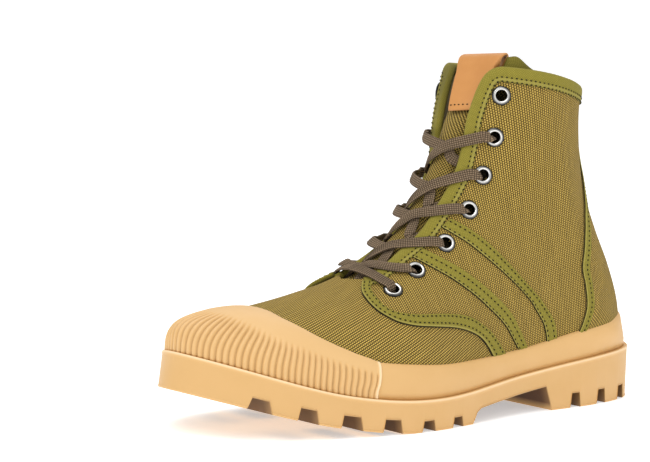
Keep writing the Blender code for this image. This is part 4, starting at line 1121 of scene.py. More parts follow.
def make_tongue(finishes):
    """The tongue: the last's surface between lines under the facings, lower under them where the lace runs,
    with room for the tab higher up, and a gentle swell along its middle. Its top is bound and has round
    corners: it rises over the collar's row by a share that falls towards both sides."""
    rows = np.linspace(TONGUE_START, COLLAR_ROW, TONGUE_STEPS)[:, None]
    lap = np.interp(rows, (TAB_ROOM_ROWS[1], COLLAR_ROW), TONGUE_INNER_LAPS)
    steady = np.maximum(rows, TONGUE_STEADY_ROW)
    inner, outer = throat_half(steady, -1), throat_half(steady, 1)
    share = np.linspace(0.0, 1.0, TONGUE_COLUMNS)[None, :]
    across = -inner - lap + (inner + outer + lap + TONGUE_LAP) * share
    edge = np.where(across > 0, outer, inner)
    sink = ramp(np.abs(across), edge - TONGUE_SINK_FROM, edge + TONGUE_SINK_TO)
    drop = WALL + TONGUE_DROP + TONGUE_SINK * sink
    room = np.interp(rows, TAB_ROOM_ROWS, (0.0, TAB_ROOM))
    bell = np.cos(np.clip(across / edge, -1, 1) * np.pi / 2) ** 2
    swell = TONGUE_SWELL * bell * ramp(rows, *TONGUE_SWELL_ROWS)
    swell = swell * (1 - ramp(rows, *TAB_ROOM_ROWS))
    extra = TONGUE_RISE * ramp(across, *TONGUE_RISES) * (1 - ramp(across, *TONGUE_FALLS))
    at = rows + extra * ramp(rows, TONGUE_RISE_ROW, COLLAR_ROW)
    grid = over_last(at, across, swell - drop - room)
    grid = straightened(grid, across, ramp(rows, *STRAIGHT_ROWS))
    outer_shadow = ramp(across, outer + OUTER_SHADOW[0], outer + OUTER_SHADOW[1])
    outer_shadow = outer_shadow * (1 - SHADOW_FADE * ramp(rows, *SHADOW_FADE_ROWS))
    inner_shadow = ramp(-across, inner + INNER_SHADOW[0], inner + INNER_SHADOW[1])
    painted_shading = TONGUE_TONE * np.where(across > 0, outer_shadow, inner_shadow)
    quads = grid_quads(*grid.shape[:2])
    made = make_piece("canvas_tongue", grid, quads, finishes["tongue"], ["tongue"],
                      flat_map(grid, grid[:, TONGUE_COLUMNS // 2]), closed=False, painted_shading=painted_shading)
    # Each finish is followed by that of its inner face
    for name in ("lining", "tape", "tape"):
        made.data.materials.append(finishes[name])
    bound = np.repeat(rows[:-1, 0] > TONGUE_BOUND, TONGUE_COLUMNS - 1)
    made.data.polygons.foreach_set("material_index", np.where(bound, 2, 0))
    add_wall(made, TONGUE_THICK)


# Rubber: outsole, foxing and toe cap

SOLE_STATIONS = 300
SOLE_SHARP = 32.0
EDGE_ROUND = 0.7
CORNER_STEPS = (-0.35, -0.1, 0.1, 0.35)
TREAD_LINES = (
    # distance in from the side, rise of the round edge
    (0.0, EDGE_ROUND),
    (0.25, 0.2),
    (0.7, 0.0),
    (6.0, 0.0),
    (16.8, 0.0),
    (17.2, 0.0),
    (17.6, 0.0),
    (29.8, 0.0),
    (30.2, 0.0),
    (30.6, 0.0),
)
WALL_SHARES = (0.0, 0.15, 0.4, 0.7, 1.0)
WALL_FOOT = 0.35
WALL_TOP = 2.4
WALL_BOW = 0.35
WALL_BOW_HALF = 4.0
DECK_LINES = (0.5, 1.2, 4.0, 12.0)
SEAT = 0.05
TIP_CUT = 0.03
TIP_CLOSE = np.array([0.0, 0.98, 0.0])
TOE_LEAN = 2.7
TOE_LEAN_FROM = 222.0
TOE_LEAN_LEVEL = 0.25
# Painted shade: a little on the walls, and in the grooves and the arch's hollow, with how far it laps past a
# groove, the depth at which the hollow's is full, where it comes in from the side, and its share in the lugs'
# grooves
WALL_PAINTED_SHADE = 0.05
SHADE_LAP = 0.15
SHADE_DEPTH = 3.0
SHADE_RAMP = (-0.5, 1.2)
LUG_SHADE = 0.92
# A bead along the rim, with a painted highlight on it
RIM_BEAD = (
    # depth under the rim, distance out from the wall, painted highlight (as a negative painted shading)
    (2.0, 0.02, 0.0),
    (1.55, 0.22, 0.0),
    (1.1, 0.36, -0.25),
    (0.6, 0.36, -0.7),
    (0.2, 0.18, -0.7),
    (0.0, -0.15, -0.4),
)


def groove_reach(middle):
    """How far a groove reaches in from the side: further in front of the arch than under the heel."""
    return GROOVE_REACH if middle > ARCH_CORNERS[-1][0] else HEEL_GROOVE_REACH


def groove_floor(x, depth_from_side, tread):
    """Height of the tread: the arch's corners, and the grooves' slanting sides as far in as they reach."""
    arch = np.array(ARCH_CORNERS)
    floor = np.maximum(tread, np.interp(x, arch[:, 0], arch[:, 1]))
    for middle, wide, narrow, depth in LUG_GROOVES:
        corners = middle + np.array([-wide, -narrow, narrow, wide]) / 2
        cut = np.interp(x, corners, (0.0, depth, depth, 0.0)) * (depth_from_side < groove_reach(middle))
        floor = np.maximum(floor, tread + cut)
    return floor


def groove_shade(x, depth_from_side):
    """Painted shade on the tread: 1 in each groove, from mouth to mouth and as far in as it reaches, and 0
    outside."""
    shade = np.zeros(np.broadcast(x, depth_from_side).shape)
    for middle, wide, _, _ in LUG_GROOVES:
        reach = groove_reach(middle) + 2 * SHADE_LAP
        inside = (np.abs(x - middle) < wide / 2 + SHADE_LAP) & (depth_from_side < reach)
        shade = np.maximum(shade, inside)
    return shade


def make_outsole(finishes):
    """The outsole: at each station along it, one ring across the tread, up the outer wall, over the deck and
    down the inner wall, with small rounds at the edges and a bead along the rim. Stations close up at the
    tips, as a cosine does, and stand at every corner of the grooves and the arch. The toe leans out
    downwards."""
    spread = (1 - np.cos(np.linspace(0.0, np.pi, SOLE_STATIONS))) / 2
    spread = TIP_CUT + spread * (OUTLINE[:, 0].max() - 2 * TIP_CUT)
    corners = [row[0] + sign * row[k] / 2 for row in LUG_GROOVES for k in (1, 2) for sign in (-1, 1)]
    corners = np.array(corners + [row[0] for row in ARCH_CORNERS])
    near = np.concatenate([corners + step for step in CORNER_STEPS])
    x = np.unique(np.concatenate([spread, near]))[:, None]
    outer, inner = sole_sides(0.0, 4 * FINE)
    y_outer = np.interp(x, outer[:, 0], outer[:, 1])
    y_inner = np.interp(x, inner[:, 0], inner[:, 1])
    tread, rim = sole_height(x, TREAD), sole_height(x, RIM)
    half = (y_outer - y_inner) / 2
    lines = np.array(TREAD_LINES)
    inset = np.minimum(lines[:, 0], half)
    low = groove_floor(x, inset, tread) + np.minimum(lines[:, 1], half)
    walls = np.array(WALL_SHARES)
    foot = low[:, :1] + WALL_FOOT
    height = foot + (rim - WALL_TOP - foot) * walls
    bow = WALL_BOW * (1 - walls) * np.minimum(half / WALL_BOW_HALF, 1.0)
    bead = np.array(RIM_BEAD)
    beads = np.repeat(bead[None], len(x), axis=0)
    deck = np.minimum(np.array(DECK_LINES), half)
    wall_inset = np.concatenate([bow, -beads[..., 1], deck], axis=1)
    wall_z = np.concatenate([height, rim - bead[:, 0], np.broadcast_to(rim, deck.shape)], axis=1)
    rings = []
    for edge, sign in ((y_outer, -1.0), (y_inner, 1.0)):
        side_y = np.concatenate([(edge + sign * inset)[:, ::-1], edge + sign * wall_inset], axis=1)
        side_z = np.concatenate([np.broadcast_to(low, inset.shape)[:, ::-1], wall_z], axis=1)
        rings.append(np.stack([np.broadcast_to(x, side_y.shape), side_y, side_z], axis=-1))
    ring = np.concatenate([rings[0], rings[1][:, ::-1]], axis=1)
    down = np.clip((rim - ring[..., 2]) / (rim - tread), 0.0, 1.0)
    ring[..., 0] += TOE_LEAN * ramp(x, TOE_LEAN_FROM, OUTLINE[:, 0].max()) * (down - TOE_LEAN_LEVEL)
    # Painted shade in the arch's hollow and the tread's grooves, coming in from the side; a little painted
    # shade on the walls, and a painted highlight on the rim's bead
    hollow_painted_shade = np.clip((low - tread - EDGE_ROUND) / SHADE_DEPTH, 0.0, 1.0)
    hollow_painted_shade = np.maximum(hollow_painted_shade, groove_shade(x, inset)) * ramp(inset, *SHADE_RAMP)
    arch_x = np.array(ARCH_CORNERS)[:, 0]
    hollow_painted_shade = hollow_painted_shade * np.where((x > arch_x[0]) & (x < arch_x[-1]), 1.0, LUG_SHADE)
    plain = np.concatenate([np.full(bow.shape, WALL_PAINTED_SHADE), beads[..., 2], np.zeros(deck.shape)], axis=1)
    painted_shading = np.concatenate([hollow_painted_shade[:, ::-1], plain, plain[:, ::-1], hollow_painted_shade], axis=1)
    ends = [row + (row.mean(axis=0) - row) * TIP_CLOSE for row in (ring[0], ring[-1])]
    ring = np.concatenate([ends[0][None], ring, ends[1][None]])
    painted_shading = np.concatenate([painted_shading[:1], painted_shading, painted_shading[-1:]])
    made = ring_piece("rubber_outsole", ring, finishes["rubber"], ["outsole"], painted_shading=painted_shading)
    made.data.set_sharp_from_angle(angle=np.radians(SOLE_SHARP))


FOXING_INSET = 1.8
FOXING_LAP = 3.5
CAP_LEAN = 3.7
FOXING_STATIONS = 300
FOXING_PROFILE = (
    # share of the height, thickness over the canvas
    (0.0, 0.0),
    (0.2, 0.0),
    (0.45, 2.9),
    (0.68, 2.6),
    (0.82, 2.35),
    (0.9, 2.0),
    (0.96, 1.4),
    (0.99, 0.7),
    (1.0, 0.0),
)
FOXING_BACK = (-2, 3, 1)
FOXING_SINK = 0.6

# Its ends: where they go thin, by how much, and how far they are drawn in under the cap
FOXING_TUCK = (-0.4, 1.2)
FOXING_THIN = 0.8
FOXING_DRAWN = 1.3
FOXING_DRAWN_OVER = (-0.5, 1.5)

# Its face: how much of the canvas's slope it takes, and the shares of its height where it leans
FACE_SLOPE = np.array([1.0, 1.0, 0.25])
LEAN_BLEND = 0.62
LEAN_TOP = 0.5


def make_foxing(upper, finishes):
    """The foxing: a band from one end of the toe cap round the heel to the other. Its face leans from the
    rim to the canvas, with a round top edge that dies into it. Its ends go thin and run in under the cap."""
    sides = []
    for line in sole_sides(FOXING_INSET, 4 * FINE):
        sides.append(even(line[line[:, 0] < CAP_FOOT_X + FOXING_LAP], FOXING_STATIONS // 2))
    line = np.concatenate([sides[0][::-1], sides[1][1:]])
    ahead = unit(np.gradient(line, axis=0))
    outwards = np.stack([ahead[:, 1], -ahead[:, 0], np.zeros(len(line))], axis=1)[:, None]
    base = sole_height(line[:, 0], RIM)[:, None] + SEAT
    tall = sole_height(line[:, 0], FOXING_TOP)[:, None] - base
    profile = np.array(FOXING_PROFILE)
    along = line[:, :1]
    tuck_at = CAP_FOOT_X - CAP_LEAN * profile[:, 0]
    tuck = ramp(along, tuck_at + FOXING_TUCK[0], tuck_at + FOXING_TUCK[1])
    thick = profile[:, 1] * (1 - FOXING_THIN * tuck)
    drawn = ramp(along, CAP_FOOT_X + FOXING_DRAWN_OVER[0], CAP_FOOT_X + FOXING_DRAWN_OVER[1])
    foot = np.concatenate([line, base], axis=1)[:, None] - outwards * (FOXING_DRAWN * drawn)[..., None]
    height = base + tall * profile[:, 0]
    target = np.repeat(foot, len(profile), axis=1)
    target[..., 2] = height
    on, out = pressed(upper, target)
    face = on + unit(out * FACE_SLOPE) * thick[..., None]
    face[..., 2] = height
    straight = foot + UP * (tall * profile[:, 0])[..., None]
    share = ramp(profile[:, 0], 0.0, LEAN_BLEND)[None, :, None]
    reach = ((face - straight) * outwards).sum(axis=-1, keepdims=True)
    lean = np.where(profile[:, 0][None, :, None] < LEAN_TOP, straight + outwards * reach * share, face)
    lean[:, 0] = foot[:, 0]
    lean[:, 1] = foot[:, 0] * LEVEL + UP * height[:, 1:2]
    hidden = np.stack([on[:, k] - out[:, k] * FOXING_SINK for k in FOXING_BACK], axis=1)
    hidden[:, -1, 2] = base[:, 0]
    rings = np.concatenate([lean, hidden], axis=1)
    ring_piece("rubber_foxing", rings, finishes["rubber"], ["foxing"])


CAP_INSET = 1.7
RIB_COUNT = 62
RIB_STEPS = 10
RIB_HEIGHT = 1.5
RIB_MEAN = 0.75
LIP = 0.5
LIP_SHARE = 0.45
# Painted highlight on the plain lip at each end
LIP_PAINTED_HIGHLIGHT = 0.7
LIP_BLEND = 0.2
# Painted shade in the grooves between the ribs and how it falls off towards their tops, a painted light over
# the whole face, and a painted highlight along its rear edge
GROOVE_PAINTED_SHADE = 0.68
GROOVE_FALL = 1.2
CAP_PAINTED_LIGHT = 0.1
CAP_EDGE_PAINTED_HIGHLIGHT = 0.3
CAP_EDGE_STEPS = 120
CAP_LINES = 44
CAP_PROFILE = (
    # share of the way up, thickness
    (0.0, 2.6),
    (0.2, 2.7),
    (0.4, 2.75),
    (0.6, 2.7),
    (0.8, 2.3),
    (0.92, 1.6),
    (1.0, 0.9),
)

# Tops of the ribs, as shares of the way up: at the tip, how much higher at the ends, over how many ribs, and
# how they die away
RIB_TOP = 0.50
RIB_TOP_RISE = 0.18
RIB_TOP_OVER = 22.0
RIB_FADE = (-0.13, 0.02)

# The straight foot's share of the way up, the round rear edge, and the lines of the hidden back
CAP_STRAIGHT = (0.02, 0.42)
CAP_ROUND = 0.45
CAP_ROUND_BACK = 0.12
CAP_BACK = (-1, 30, 12, 1)
CAP_SINK = 0.5


def make_toe_cap(upper, finishes):
    """The toe cap: at each station round it, a line from its foot on the rim to its rear edge on the vamp,
    about a point inside the toe, pressed to the canvas and raised by the rubber's thickness. The ribs are
    round across, as the root of a sine, and die away upwards into the smooth dome; each end has a plain
    lip."""
    table = resample(CAP_EDGE, CAP_EDGE_STEPS)
    outer_edge = last_point(table[:, 0], table[:, 1], 1)
    inner_edge = last_point(table[:, 0], table[:, 1], -1)
    edge = np.concatenate([inner_edge[::-1], outer_edge[1:]])
    centre = np.array(CAP_CENTRE)
    outer, inner = sole_sides(CAP_INSET, 4 * FINE)
    line = np.concatenate([outer[outer[:, 0] > CAP_FOOT_X], inner[inner[:, 0] > CAP_FOOT_X][::-1]])[::-1]
    length = RIB_COUNT + 2 * LIP_SHARE
    count = int(round(length * RIB_STEPS)) + 1
    line = even(line, count)
    plan = np.arctan2(line[:, 1] - centre[1], line[:, 0] - centre[0])
    edge_plan = np.unwrap(np.arctan2(edge[:, 1] - centre[1], edge[:, 0] - centre[0]))
    plan = plan * np.where(plan > 0, edge_plan[-1] / plan[-1], edge_plan[0] / plan[0])
    head = read_line(edge, edge_plan, plan)
    base = sole_height(line[:, 0], RIM) + SEAT
    foot = np.concatenate([line, base[:, None]], axis=1)
    profile = resample(CAP_PROFILE, CAP_LINES)
    share = profile[:, 0][None, :, None]
    low_arm, high_arm = foot - centre, head - centre
    angle = np.arccos(np.clip((unit(low_arm) * unit(high_arm)).sum(axis=1), -1, 1))[:, None, None]
    arm = np.sin((1 - share) * angle) * unit(low_arm)[:, None]
    arm = (arm + np.sin(share * angle) * unit(high_arm)[:, None]) / np.sin(angle)
    low_reach, high_reach = (np.linalg.norm(item, axis=1)[:, None, None] for item in (low_arm, high_arm))
    reach = low_reach * (1 - share) + high_reach * share
    on, out = pressed(upper, centre + arm * reach)
    place = np.linspace(0.0, length, count)
    rib = np.sqrt(np.abs(np.sin((place - LIP_SHARE) * np.pi)))[:, None]
    ends = np.minimum(place, length - place)[:, None]
    top = RIB_TOP + RIB_TOP_RISE * (1 - ramp(ends, 0.0, RIB_TOP_OVER))
    ribbed = ramp(ends, LIP_SHARE - LIP_BLEND, LIP_SHARE)
    envelope = 1 - ramp(profile[:, 0][None, :], top + RIB_FADE[0], top + RIB_FADE[1])
    envelope = envelope * ribbed
    lip = LIP * (1 - ribbed)
    relief = RIB_HEIGHT * (rib - RIB_MEAN) * envelope + lip
    face = on + out * (profile[:, 1][None, :] + relief)[..., None]
    forward = unit(low_arm * LEVEL)[:, None]
    straight = foot[:, None] + forward * relief[..., None]
    straight = straight + UP * (face[..., 2:3] - base[:, None, None])
    near = 1 - ramp(share, *CAP_STRAIGHT)
    face = face * (1 - near) + straight * near
    bottom = foot + (face[:, 1] - foot) * LEVEL
    rounding = on[:, -1] + out[:, -1] * CAP_ROUND + (head - on[:, -3]) * CAP_ROUND_BACK
    hidden = np.stack([on[:, k] - out[:, k] * CAP_SINK for k in CAP_BACK], axis=1)
    hidden[:, -1, 2] = base
    rings = np.concatenate([bottom[:, None], face[:, 1:], rounding[:, None], hidden], axis=1)
    # Painted shading of the face: shade in the grooves, highlights on the lips and along the rear edge, and a
    # paler light over it all; the rounding and the hidden back have none
    shadow = GROOVE_PAINTED_SHADE * (1 - rib) ** GROOVE_FALL * envelope - LIP_PAINTED_HIGHLIGHT * (lip / LIP) - CAP_PAINTED_LIGHT
    shadow[:, -1] -= CAP_EDGE_PAINTED_HIGHLIGHT
    painted_shading = np.concatenate([shadow, np.zeros((count, len(CAP_BACK) + 1))], axis=1)
    ring_piece("rubber_toe_cap", rings, finishes["rubber"], ["toe_cap"], painted_shading=painted_shading)


# Sewn tapes, bands and the counter

TAPE_EDGE = (
    # distance in from the tape's edge, share of its thickness
    (0.0, 0.0),
    (0.0, 0.45),
    (0.12, 0.78),
    (0.35, 0.95),
)
TAPE_FLAT = 0.7
TAPE_STEPS = 17
TAPE_BACK = (0.75, 0.25)
TAPE_SINK = 0.4
TROUGH = 0.22
TROUGH_WIDTH = 0.55
TROUGH_LEVEL = 0.9
# A painted shadow line along a tape's low edge, as far in as this; a painted highlight on its fold: its
# strength, place and half width
EDGE_PAINTED_SHADOW = 0.2
FOLD_PAINTED_HIGHLIGHT = 0.45
FOLD_PLACE = 0.6
FOLD_HALF = 0.3
BAND_TUCK = 1.5
BAND_STEPS = 150
BAND_CLEAR = 5.2
BAND_CLEAR_ROW = 9.72
PROUD_TURNS = (0.5, 0.9)
BANDS = (
    # name, its edges, thickness, rows of stitches across it, how proud its start is on the inner side
    ("quarter_tape", QUARTER_TAPE, 1.15, (2.0, 5.4), 1.5),
    ("front_band", FRONT_BAND, 0.9, (1.1, 4.9), 0.0),
    ("rear_band", REAR_BAND, 0.9, (1.1, 4.9), 0.0),
)


def tape_profile(width, thick, rows_of_stitches):
    """Shares across a tape, heights over the canvas and painted shading, round the whole section: soft edges,
    a painted shadow line along the low one and a painted highlight on its fold, and a shallow trough under
    each row of stitches."""
    edge = np.array(TAPE_EDGE)
    flat = np.linspace(TAPE_FLAT, width - TAPE_FLAT, TAPE_STEPS)
    across = np.concatenate([edge[:, 0], flat, width - edge[::-1, 0]])
    top = thick * np.concatenate([edge[:, 1], np.ones(TAPE_STEPS), edge[::-1, 1]])
    for place in rows_of_stitches:
        trough = TROUGH * np.exp(-(((across - place) / TROUGH_WIDTH) ** 2))
        top = top - trough * (top > thick * TROUGH_LEVEL)
    fold = np.abs(across - FOLD_PLACE) < FOLD_HALF
    painted_shading = np.where(across < EDGE_PAINTED_SHADOW, 1.0, 0.0) - FOLD_PAINTED_HIGHLIGHT * fold
    back = np.zeros(len(TAPE_BACK))
    across = np.concatenate([across, width * np.array(TAPE_BACK)])
    return across / width, np.concatenate([top, back - TAPE_SINK]), np.concatenate([painted_shading, back])


def band_lines(table, side):
    """A band's low and high edges as rows and turns, kept beside the facing by a clear distance and carried
    on at the lower end to tuck behind the foxing."""
    rows = np.array(table)
    rows = np.concatenate([rows, rows[-1:] + BAND_TUCK * (rows[-1:] - rows[-2:-1])])
    places = resample(rows, BAND_STEPS)
    low, high = places[:, :2].copy(), places[:, 2:].copy()
    for line in (low, high):
        first = turn_at(line[:, 0], throat_half(line[:, 0], side), side)
        fine = first[:, None] + np.linspace(0.0, np.pi / 2, FINE)[None, :]
        along = row_lengths(last_point(line[:, :1], fine, side))
        beside = fine[np.arange(BAND_STEPS), (along < BAND_CLEAR).sum(axis=1)]
        line[:, 1] = np.where(line[:, 0] > BAND_CLEAR_ROW, np.maximum(line[:, 1], beside), line[:, 1])
    return low, high


def make_band(node, table, side, thick, rows_of_stitches, proud, finishes):
    """A tape on the upper between two edges: a thin section with soft edges, carried along them. Near its
    start it may stand proud of the canvas. Returns its lines of stitches as points, directions out and
    pitch."""
    low, high = band_lines(table, side)
    edges = [last_point(line[:, 0], line[:, 1], side) for line in (low, high)]
    width = float(np.linalg.norm(edges[0] - edges[1], axis=1).mean())
    share, top, painted_shading = tape_profile(width, thick, rows_of_stitches)
    extra = proud * (1 - ramp(low[:, 1:], *PROUD_TURNS))
    # A band that stands proud keeps its painted shadow line only at its very edge, and keeps its painted
    # highlight
    if proud:
        painted_shading = np.where(np.arange(len(painted_shading)) == 0, painted_shading, np.minimum(painted_shading, 0.0))
    rows = low[:, :1] + (high[:, :1] - low[:, :1]) * share
    turns = low[:, 1:] + (high[:, 1:] - low[:, 1:]) * share
    rings = laid(rows, turns, side, top + extra * (top > 0))
    ring_piece("sewn_" + node, rings, finishes["tape"], [node], painted_shading=painted_shading)
    seams = []
    for place in rows_of_stitches:
        row = low[:, 0] + (high[:, 0] - low[:, 0]) * place / width
        turn = low[:, 1] + (high[:, 1] - low[:, 1]) * place / width
        line = laid(row, turn, side, thick - STITCH_SINK + extra[:, 0])
        seams.append((line, last_normal(row, turn, side), BAND_PITCH))
    return seams


# The binding's painted shading: a shadow line where it meets the canvas, a highlight between its rows of
# stitches, and shade on its inner face
BINDING_SECTION = (
    # distance in from the canvas edge, height over the canvas, painted shade (above 0) or painted highlight
    # (below 0)
    (7.5, 0.0, 0.9),
    (7.45, 0.35, 0.3),
    (7.1, 0.60, 0.0),
    (6.6, 0.78, -0.3),
    (5.9, 0.82, -0.3),
    (5.0, 0.64, 0.0),
    (4.1, 0.90, 0.0),
    (2.6, 0.98, 0.0),
    (1.4, 0.95, 0.0),
    (0.5, 0.85, 0.0),
    (-0.2, 0.45, 0.0),
    (-0.6, -0.2, 0.0),
    (-0.75, -1.0, 0.0),
    (-0.6, -1.8, 0.0),
    (-0.2, -2.4, 0.0),
    (0.5, -2.75, 0.2),
    (2.0, -2.85, 0.5),
    (4.0, -2.8, 0.8),
    (5.2, -2.65, 0.8),
    (5.3, -2.1, 0.8),
    (3.0, -1.7, 0.0),
    (3.0, -0.4, 0.0),
)
BINDING_STITCHES = (5.0, 7.1)
BINDING_START = 9.56
BINDING_TOP = COLLAR_ROW - 0.01
BINDING_STEPS = 420
THROAT_STEPS = 900
COLLAR_STEPS = 300
BINDING_SMOOTH = 11
# Painted shade on the inner side's binding towards the top of the throat: its strength, and the rows and
# turns over which it comes in and fades
FAR_PAINTED_SHADE = 0.45
FAR_ROWS = (17.0, 21.0)
FAR_TURNS = (0.6, 1.0)


def make_binding(side, finishes, nodes):
    """The binding of one side: a folded tape carried along the canvas edge, up the throat, round the corner
    and along the collar to the back seam. Returns its lines of stitches."""
    throat_rows = np.linspace(BINDING_START, BINDING_TOP, THROAT_STEPS)
    throat = np.stack([throat_rows, turn_at(throat_rows, throat_half(throat_rows, side), side)], axis=1)
    collar_turns = np.linspace(throat[-1, 1], np.pi, COLLAR_STEPS)[1:]
    collar = np.stack([np.full(len(collar_turns), BINDING_TOP), collar_turns], axis=1)
    walk = np.concatenate([throat, collar])
    path = np.concatenate([last_point(walk[:, 0], walk[:, 1], side), walk], axis=1)
    smooth = smooth_along(even(path, BINDING_STEPS), BINDING_SMOOTH)
    at, turn = smooth[:, 3], smooth[:, 4]
    edge = last_point(at, turn, side)
    out = last_normal(at, turn, side)
    ahead = unit(np.gradient(edge, axis=0))
    inwards = unit(np.cross(ahead, out)) * side
    section = np.array(BINDING_SECTION)
    offset = np.maximum(section[:, 0], 0.0)
    target = edge[:, None] + inwards[:, None] * offset[None, :, None]
    shape = target.shape[:2]
    guess = [np.broadcast_to(values[:, None], shape) for values in (at, turn)]
    on_row, on_turn = settle(*guess, side, target)
    rings = laid(on_row, on_turn, side, np.broadcast_to(section[:, 1], shape))
    rings = rings + inwards[:, None] * np.minimum(section[:, 0], 0.0)[None, :, None]
    shadow = ramp(on_row, *FAR_ROWS) * (1 - ramp(on_turn, *FAR_TURNS))
    painted_shading = section[:, 2] if side > 0 else np.minimum(section[:, 2] + FAR_PAINTED_SHADE * shadow, 1.0)
    ring_piece("edge_binding_" + dict(SIDES)[side], rings, finishes["tape"], nodes, painted_shading=painted_shading)
    seams = []
    for place in BINDING_STITCHES:
        column = [row[0] for row in BINDING_SECTION].index(place)
        away = last_normal(on_row[:, column], on_turn[:, column], side)
        seams.append((rings[:, column] + away * STITCH_LIFT, away, STITCH_PITCH))
    return seams


COUNTER_ROWS = 110
COUNTER_COLUMNS = 90
COUNTER_PASSES = 6
COUNTER_RADIUS = 36.0
COUNTER_LAP = 1.0
COUNTER_THICK = 1.0
COUNTER_EDGE_THICK = 0.45
COUNTER_LIFT = 0.1
COUNTER_SINK = 0.3
COUNTER_TAPE = 5.6
COUNTER_TAPE_THICK = 0.5
COUNTER_STITCHES = 3.4
LANE = 1000.0


def make_counter(upper, finishes):
    """The heel counter: at each height, a line round the back from edge to edge, pressed to the canvas and
    raised; a tape runs behind its front edge. Returns the lines of stitches."""
    edge = resample(COUNTER_EDGE, COUNTER_ROWS)
    z, x, y = edge[:, 0], edge[:, 1], edge[:, 2]
    reach = np.arctan2(y, COUNTER_AXIS_X - x)
    free = np.clip((COUNTER_FREE - z) / (COUNTER_FREE - z[0]), 0.0, 1.0)
    turn = reach[:, None] * np.linspace(1.0, -1.0, COUNTER_COLUMNS)[None, :]
    towards = np.stack([-np.cos(turn), np.sin(turn), np.zeros(turn.shape)], axis=-1)
    radius = np.full(turn.shape, COUNTER_RADIUS)
    height = np.broadcast_to(z[:, None], turn.shape)
    for _ in range(COUNTER_PASSES):
        start = np.stack([np.full(turn.shape, COUNTER_AXIS_X), np.zeros(turn.shape), height], axis=-1)
        on, out = pressed(upper, start + towards * radius[..., None])
        radius = ((on - start) * towards).sum(axis=-1)
        low = sole_height(on[..., 0], FOXING_TOP) - COUNTER_LAP
        height = z[:, None] + (low - z[0]) * free[:, None]
    thick = np.full(COUNTER_COLUMNS, COUNTER_THICK)
    thick[[0, -1]] = COUNTER_EDGE_THICK
    outside = on + out * (COUNTER_LIFT + thick)[None, :, None]
    inside = on - out * COUNTER_SINK
    rings = np.concatenate([outside, inside[:, ::-1]], axis=1)
    ring_piece("canvas_counter", rings, finishes["counter"], ["heel_counter"])
    seams = []
    for sign, word in SIDES:
        walk = outside[:, ::sign]
        normal = out[:, ::sign]
        along = row_lengths(walk)
        width = np.minimum(COUNTER_TAPE, along[:, COUNTER_COLUMNS // 2 - 2])
        share, top, painted_shading = tape_profile(COUNTER_TAPE, COUNTER_TAPE_THICK, [COUNTER_STITCHES])
        top = np.maximum(top, -COUNTER_SINK)
        wanted = share[None, :] * width[:, None]
        lane = LANE * np.arange(COUNTER_ROWS)[:, None]
        picked = [np.interp((wanted + lane).ravel(), (along + lane).ravel(), values[..., k].ravel())
                  for values in (walk, normal) for k in range(3)]
        picked = np.stack(picked, axis=-1).reshape(COUNTER_ROWS, -1, 6)
        rings = picked[..., :3] + unit(picked[..., 3:]) * top[None, :, None]
        ring_piece("counter_tape_" + word, rings, finishes["tape"], painted_shading=painted_shading)
        column = int(np.argmin(np.abs(share[:-2] - COUNTER_STITCHES / COUNTER_TAPE)))
        away = unit(picked[:, column, 3:])
        seams.append((rings[:, column] + away * STITCH_LIFT, away, STITCH_PITCH))
    return seams


# Stitches

STITCH_PITCH = 2.5
BAND_PITCH = 2.75
BADGE_PITCH = 1.9
STITCH_LENGTH = 0.5
STITCH_RADIUS = 0.35
STITCH_AROUND = 6
STITCH_TAPER = (0.25, 0.9, 1.0, 0.9, 0.25)
STITCH_BOW = 0.13
STITCH_FALL = 1.2
STITCH_SINK = 0.15
STITCH_LIFT = 0.05


def make_stitches(name, seams, finishes):
    """Rows of stitches as one mesh: each is a short round thread, bowed up along its seam with its ends in
    the cloth. A small grid of points is turned to the seam's direction at each even step. Its length is a
    share of the step."""
    spin = np.linspace(0.0, 2 * np.pi, STITCH_AROUND, endpoint=False)
    taper = STITCH_RADIUS * np.array(STITCH_TAPER)[:, None]
    length = np.linspace(-0.5, 0.5, len(STITCH_TAPER))[:, None]
    aside_part = taper * np.cos(spin)
    up_part = STITCH_BOW - STITCH_FALL * length**2 + taper * np.sin(spin)
    ahead_part = np.broadcast_to(length * STITCH_LENGTH, aside_part.shape)
    points = []
    for line, normal, pitch in seams:
        along = lengths(line)
        at = np.arange(pitch / 2, along[-1] - pitch / 3, pitch)
        middle = read_line(line, along, at)
        out = unit(read_line(normal, along, at))
        ahead = unit(read_line(np.gradient(line, axis=0), along, at))
        aside = np.cross(out, ahead)
        points.append(middle[:, None, None] + ahead[:, None, None] * ahead_part[None, ..., None] * pitch
                      + aside[:, None, None] * aside_part[None, ..., None]
                      + out[:, None, None] * up_part[None, ..., None])
    points = np.concatenate(points)
    count, rows, around = points.shape[:3]
    one = grid_quads(rows, around, close_columns=True)
    # Each end has six corners and is closed by two quads
    end = np.array([[0, 1, 2, 3], [0, 3, 4, 5]])
    one = np.concatenate([one, end, end + (rows - 1) * around])
    quads = (one[None] + (np.arange(count) * rows * around)[:, None, None]).reshape(-1, 4)
    spread = np.stack([np.broadcast_to(ahead_part, points.shape[:3]),
                       np.broadcast_to(aside_part, points.shape[:3])], axis=-1)
    make_piece(name, points.reshape(-1, 3), quads, finishes["thread"], uv=spread)


# Eyelets and lace

